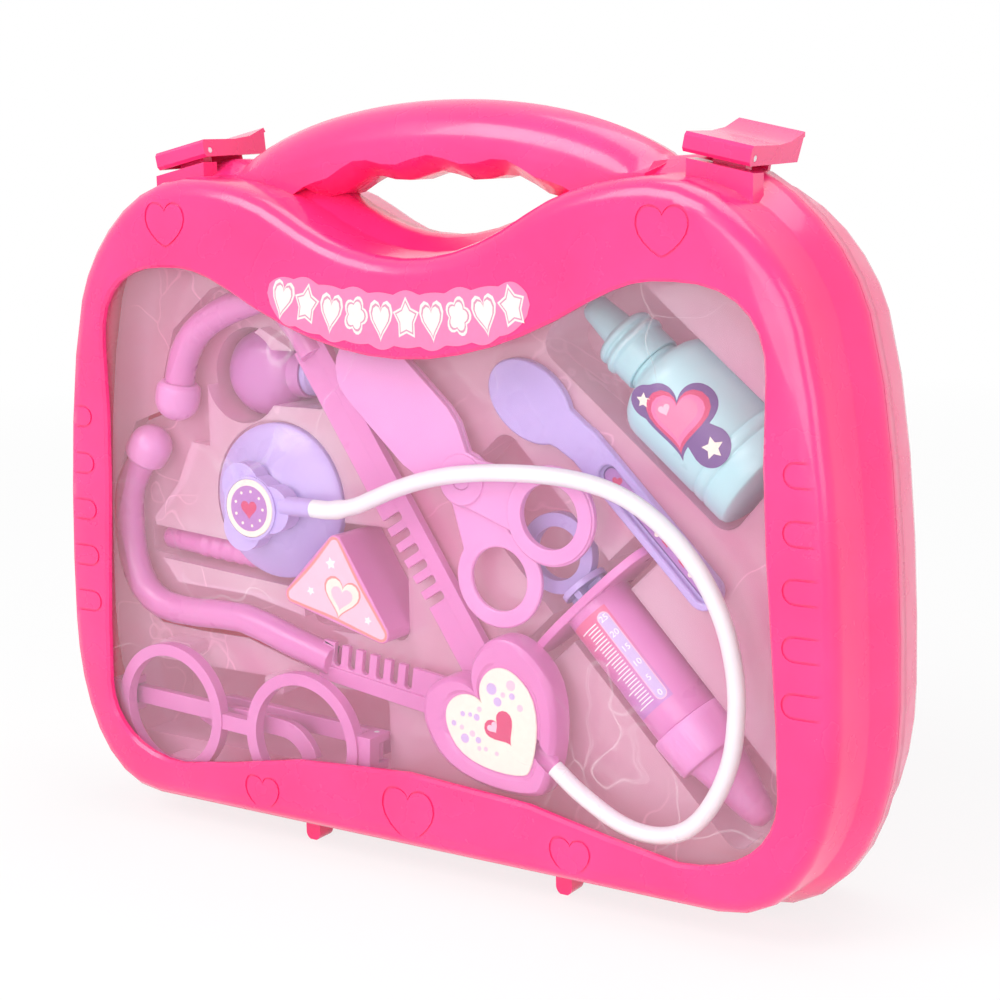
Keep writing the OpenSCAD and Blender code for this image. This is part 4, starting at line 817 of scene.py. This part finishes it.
def swept(name, line, depth, material, node, sides=24):
    """The round tube along a line in the case's plane."""
    bm = bmesh.new()
    rings, run = [], 0
    for i, p in enumerate(line):
        way = (line[min(i + 1, len(line) - 1)] - line[max(i - 1, 0)]).normalized()
        run += (line[i] - line[i - 1]).length if i else 0
        ring = []
        for k in range(sides):
            t = math.tau * k / sides
            aside, off = tube_radius(run) * math.cos(t), tube_radius(run) * math.sin(t)
            ring.append(bm.verts.new(front(p.x - way.y * aside, p.y + way.x * aside, off - depth)))
        rings.append(ring)
    for a, b in zip(rings, rings[1:]):
        for k in range(sides):
            bm.faces.new((a[k], a[(k + 1) % sides], b[(k + 1) % sides], b[k]))
    bm.faces.new(rings[0])
    bm.faces.new(rings[-1])
    bmesh.ops.recalc_face_normals(bm, faces=bm.faces)
    mesh = bpy.data.meshes.new(name)
    bm.to_mesh(mesh)
    bm.free()
    smooth(mesh, 40)
    put(name, mesh, material, "case", node)


swept("stethoscope_tube_dressed", curve_points(TUBE_ROUTE, 5), TUBE_DEPTH, FINISH["white_tube"],
      "stethoscope_tube")

# ---- floor, world and lamps -----------------------------------------------------------------

FLOOR_HALF = 6


def white_rays(nodes, links):
    """1 for camera, glossy and transmission rays, 0 for the rest."""
    path = nodes.new("ShaderNodeLightPath")
    seen = combined(nodes, links, "MAXIMUM", path.outputs["Is Camera Ray"], path.outputs["Is Glossy Ray"])
    return combined(nodes, links, "MAXIMUM", seen, path.outputs["Is Transmission Ray"])


corners = [(x * FLOOR_HALF, y * FLOOR_HALF, 0) for x, y in ((-1, -1), (1, -1), (1, 1), (-1, 1))]
floor_mesh = bpy.data.meshes.new("floor")
floor_mesh.from_pydata(corners, [], [(0, 1, 2, 3)])
floor = bpy.data.objects.new("floor", floor_mesh)
bpy.context.collection.objects.link(floor)
m, nodes, links = new_material("floor_white")
out = nodes.new("ShaderNodeOutputMaterial")
matte = nodes.new("ShaderNodeBsdfDiffuse")
matte.inputs["Color"].default_value = (0.92, 0.92, 0.92, 1)
glow = nodes.new("ShaderNodeEmission")
glow.inputs["Color"].default_value = (1, 1, 1, 1)
spot = nodes.new("ShaderNodeTexCoord")
reach = nodes.new("ShaderNodeVectorMath")
reach.operation = "LENGTH"
links.new(spot.outputs["Object"], reach.inputs[0])
# The floor keeps the shadow near the case and runs into the white background farther off
far_off = spread(nodes, links, reach.outputs["Value"], 0.2, 1.3, 0.8, 1.0)
mix = nodes.new("ShaderNodeMixShader")
links.new(combined(nodes, links, "MULTIPLY", white_rays(nodes, links), far_off), mix.inputs["Fac"])
links.new(matte.outputs["BSDF"], mix.inputs[1])
links.new(glow.outputs["Emission"], mix.inputs[2])
links.new(mix.outputs["Shader"], out.inputs["Surface"])
floor.data.materials.append(m)

world = bpy.data.worlds.new("studio")
bpy.context.scene.world = world
world.use_nodes = True
nodes, links = world.node_tree.nodes, world.node_tree.links
nodes.clear()
out = nodes.new("ShaderNodeOutputWorld")
back = nodes.new("ShaderNodeBackground")
back.inputs["Color"].default_value = (1, 1, 1, 1)
links.new(spread(nodes, links, white_rays(nodes, links), 0, 1, 0.42, 1.0), back.inputs["Strength"])
links.new(back.outputs["Background"], out.inputs["Surface"])


def softbox(name, place, width, height, watts):
    """A flat lamp that faces the case's middle."""
    data = bpy.data.lights.new(name, "AREA")
    data.shape = "RECTANGLE"
    data.size = width
    data.size_y = height
    data.energy = watts
    lamp = bpy.data.objects.new(name, data)
    bpy.context.collection.objects.link(lamp)
    lamp.location = place
    lamp.rotation_euler = (Vector(AIM) - Vector(place)).to_track_quat("-Z", "Y").to_euler()


AIM = (0, 0, 0.1)
softbox("key", (-0.5, -1.2, 1.3), 1.0, 0.8, 14.5)
softbox("front", (0.35, -1.7, 0.45), 1.4, 1.0, 13.5)
softbox("fill", (1.5, -0.6, 0.6), 0.7, 1.2, 6)
softbox("top", (0.2, 0.3, 1.5), 1.2, 0.8, 8)
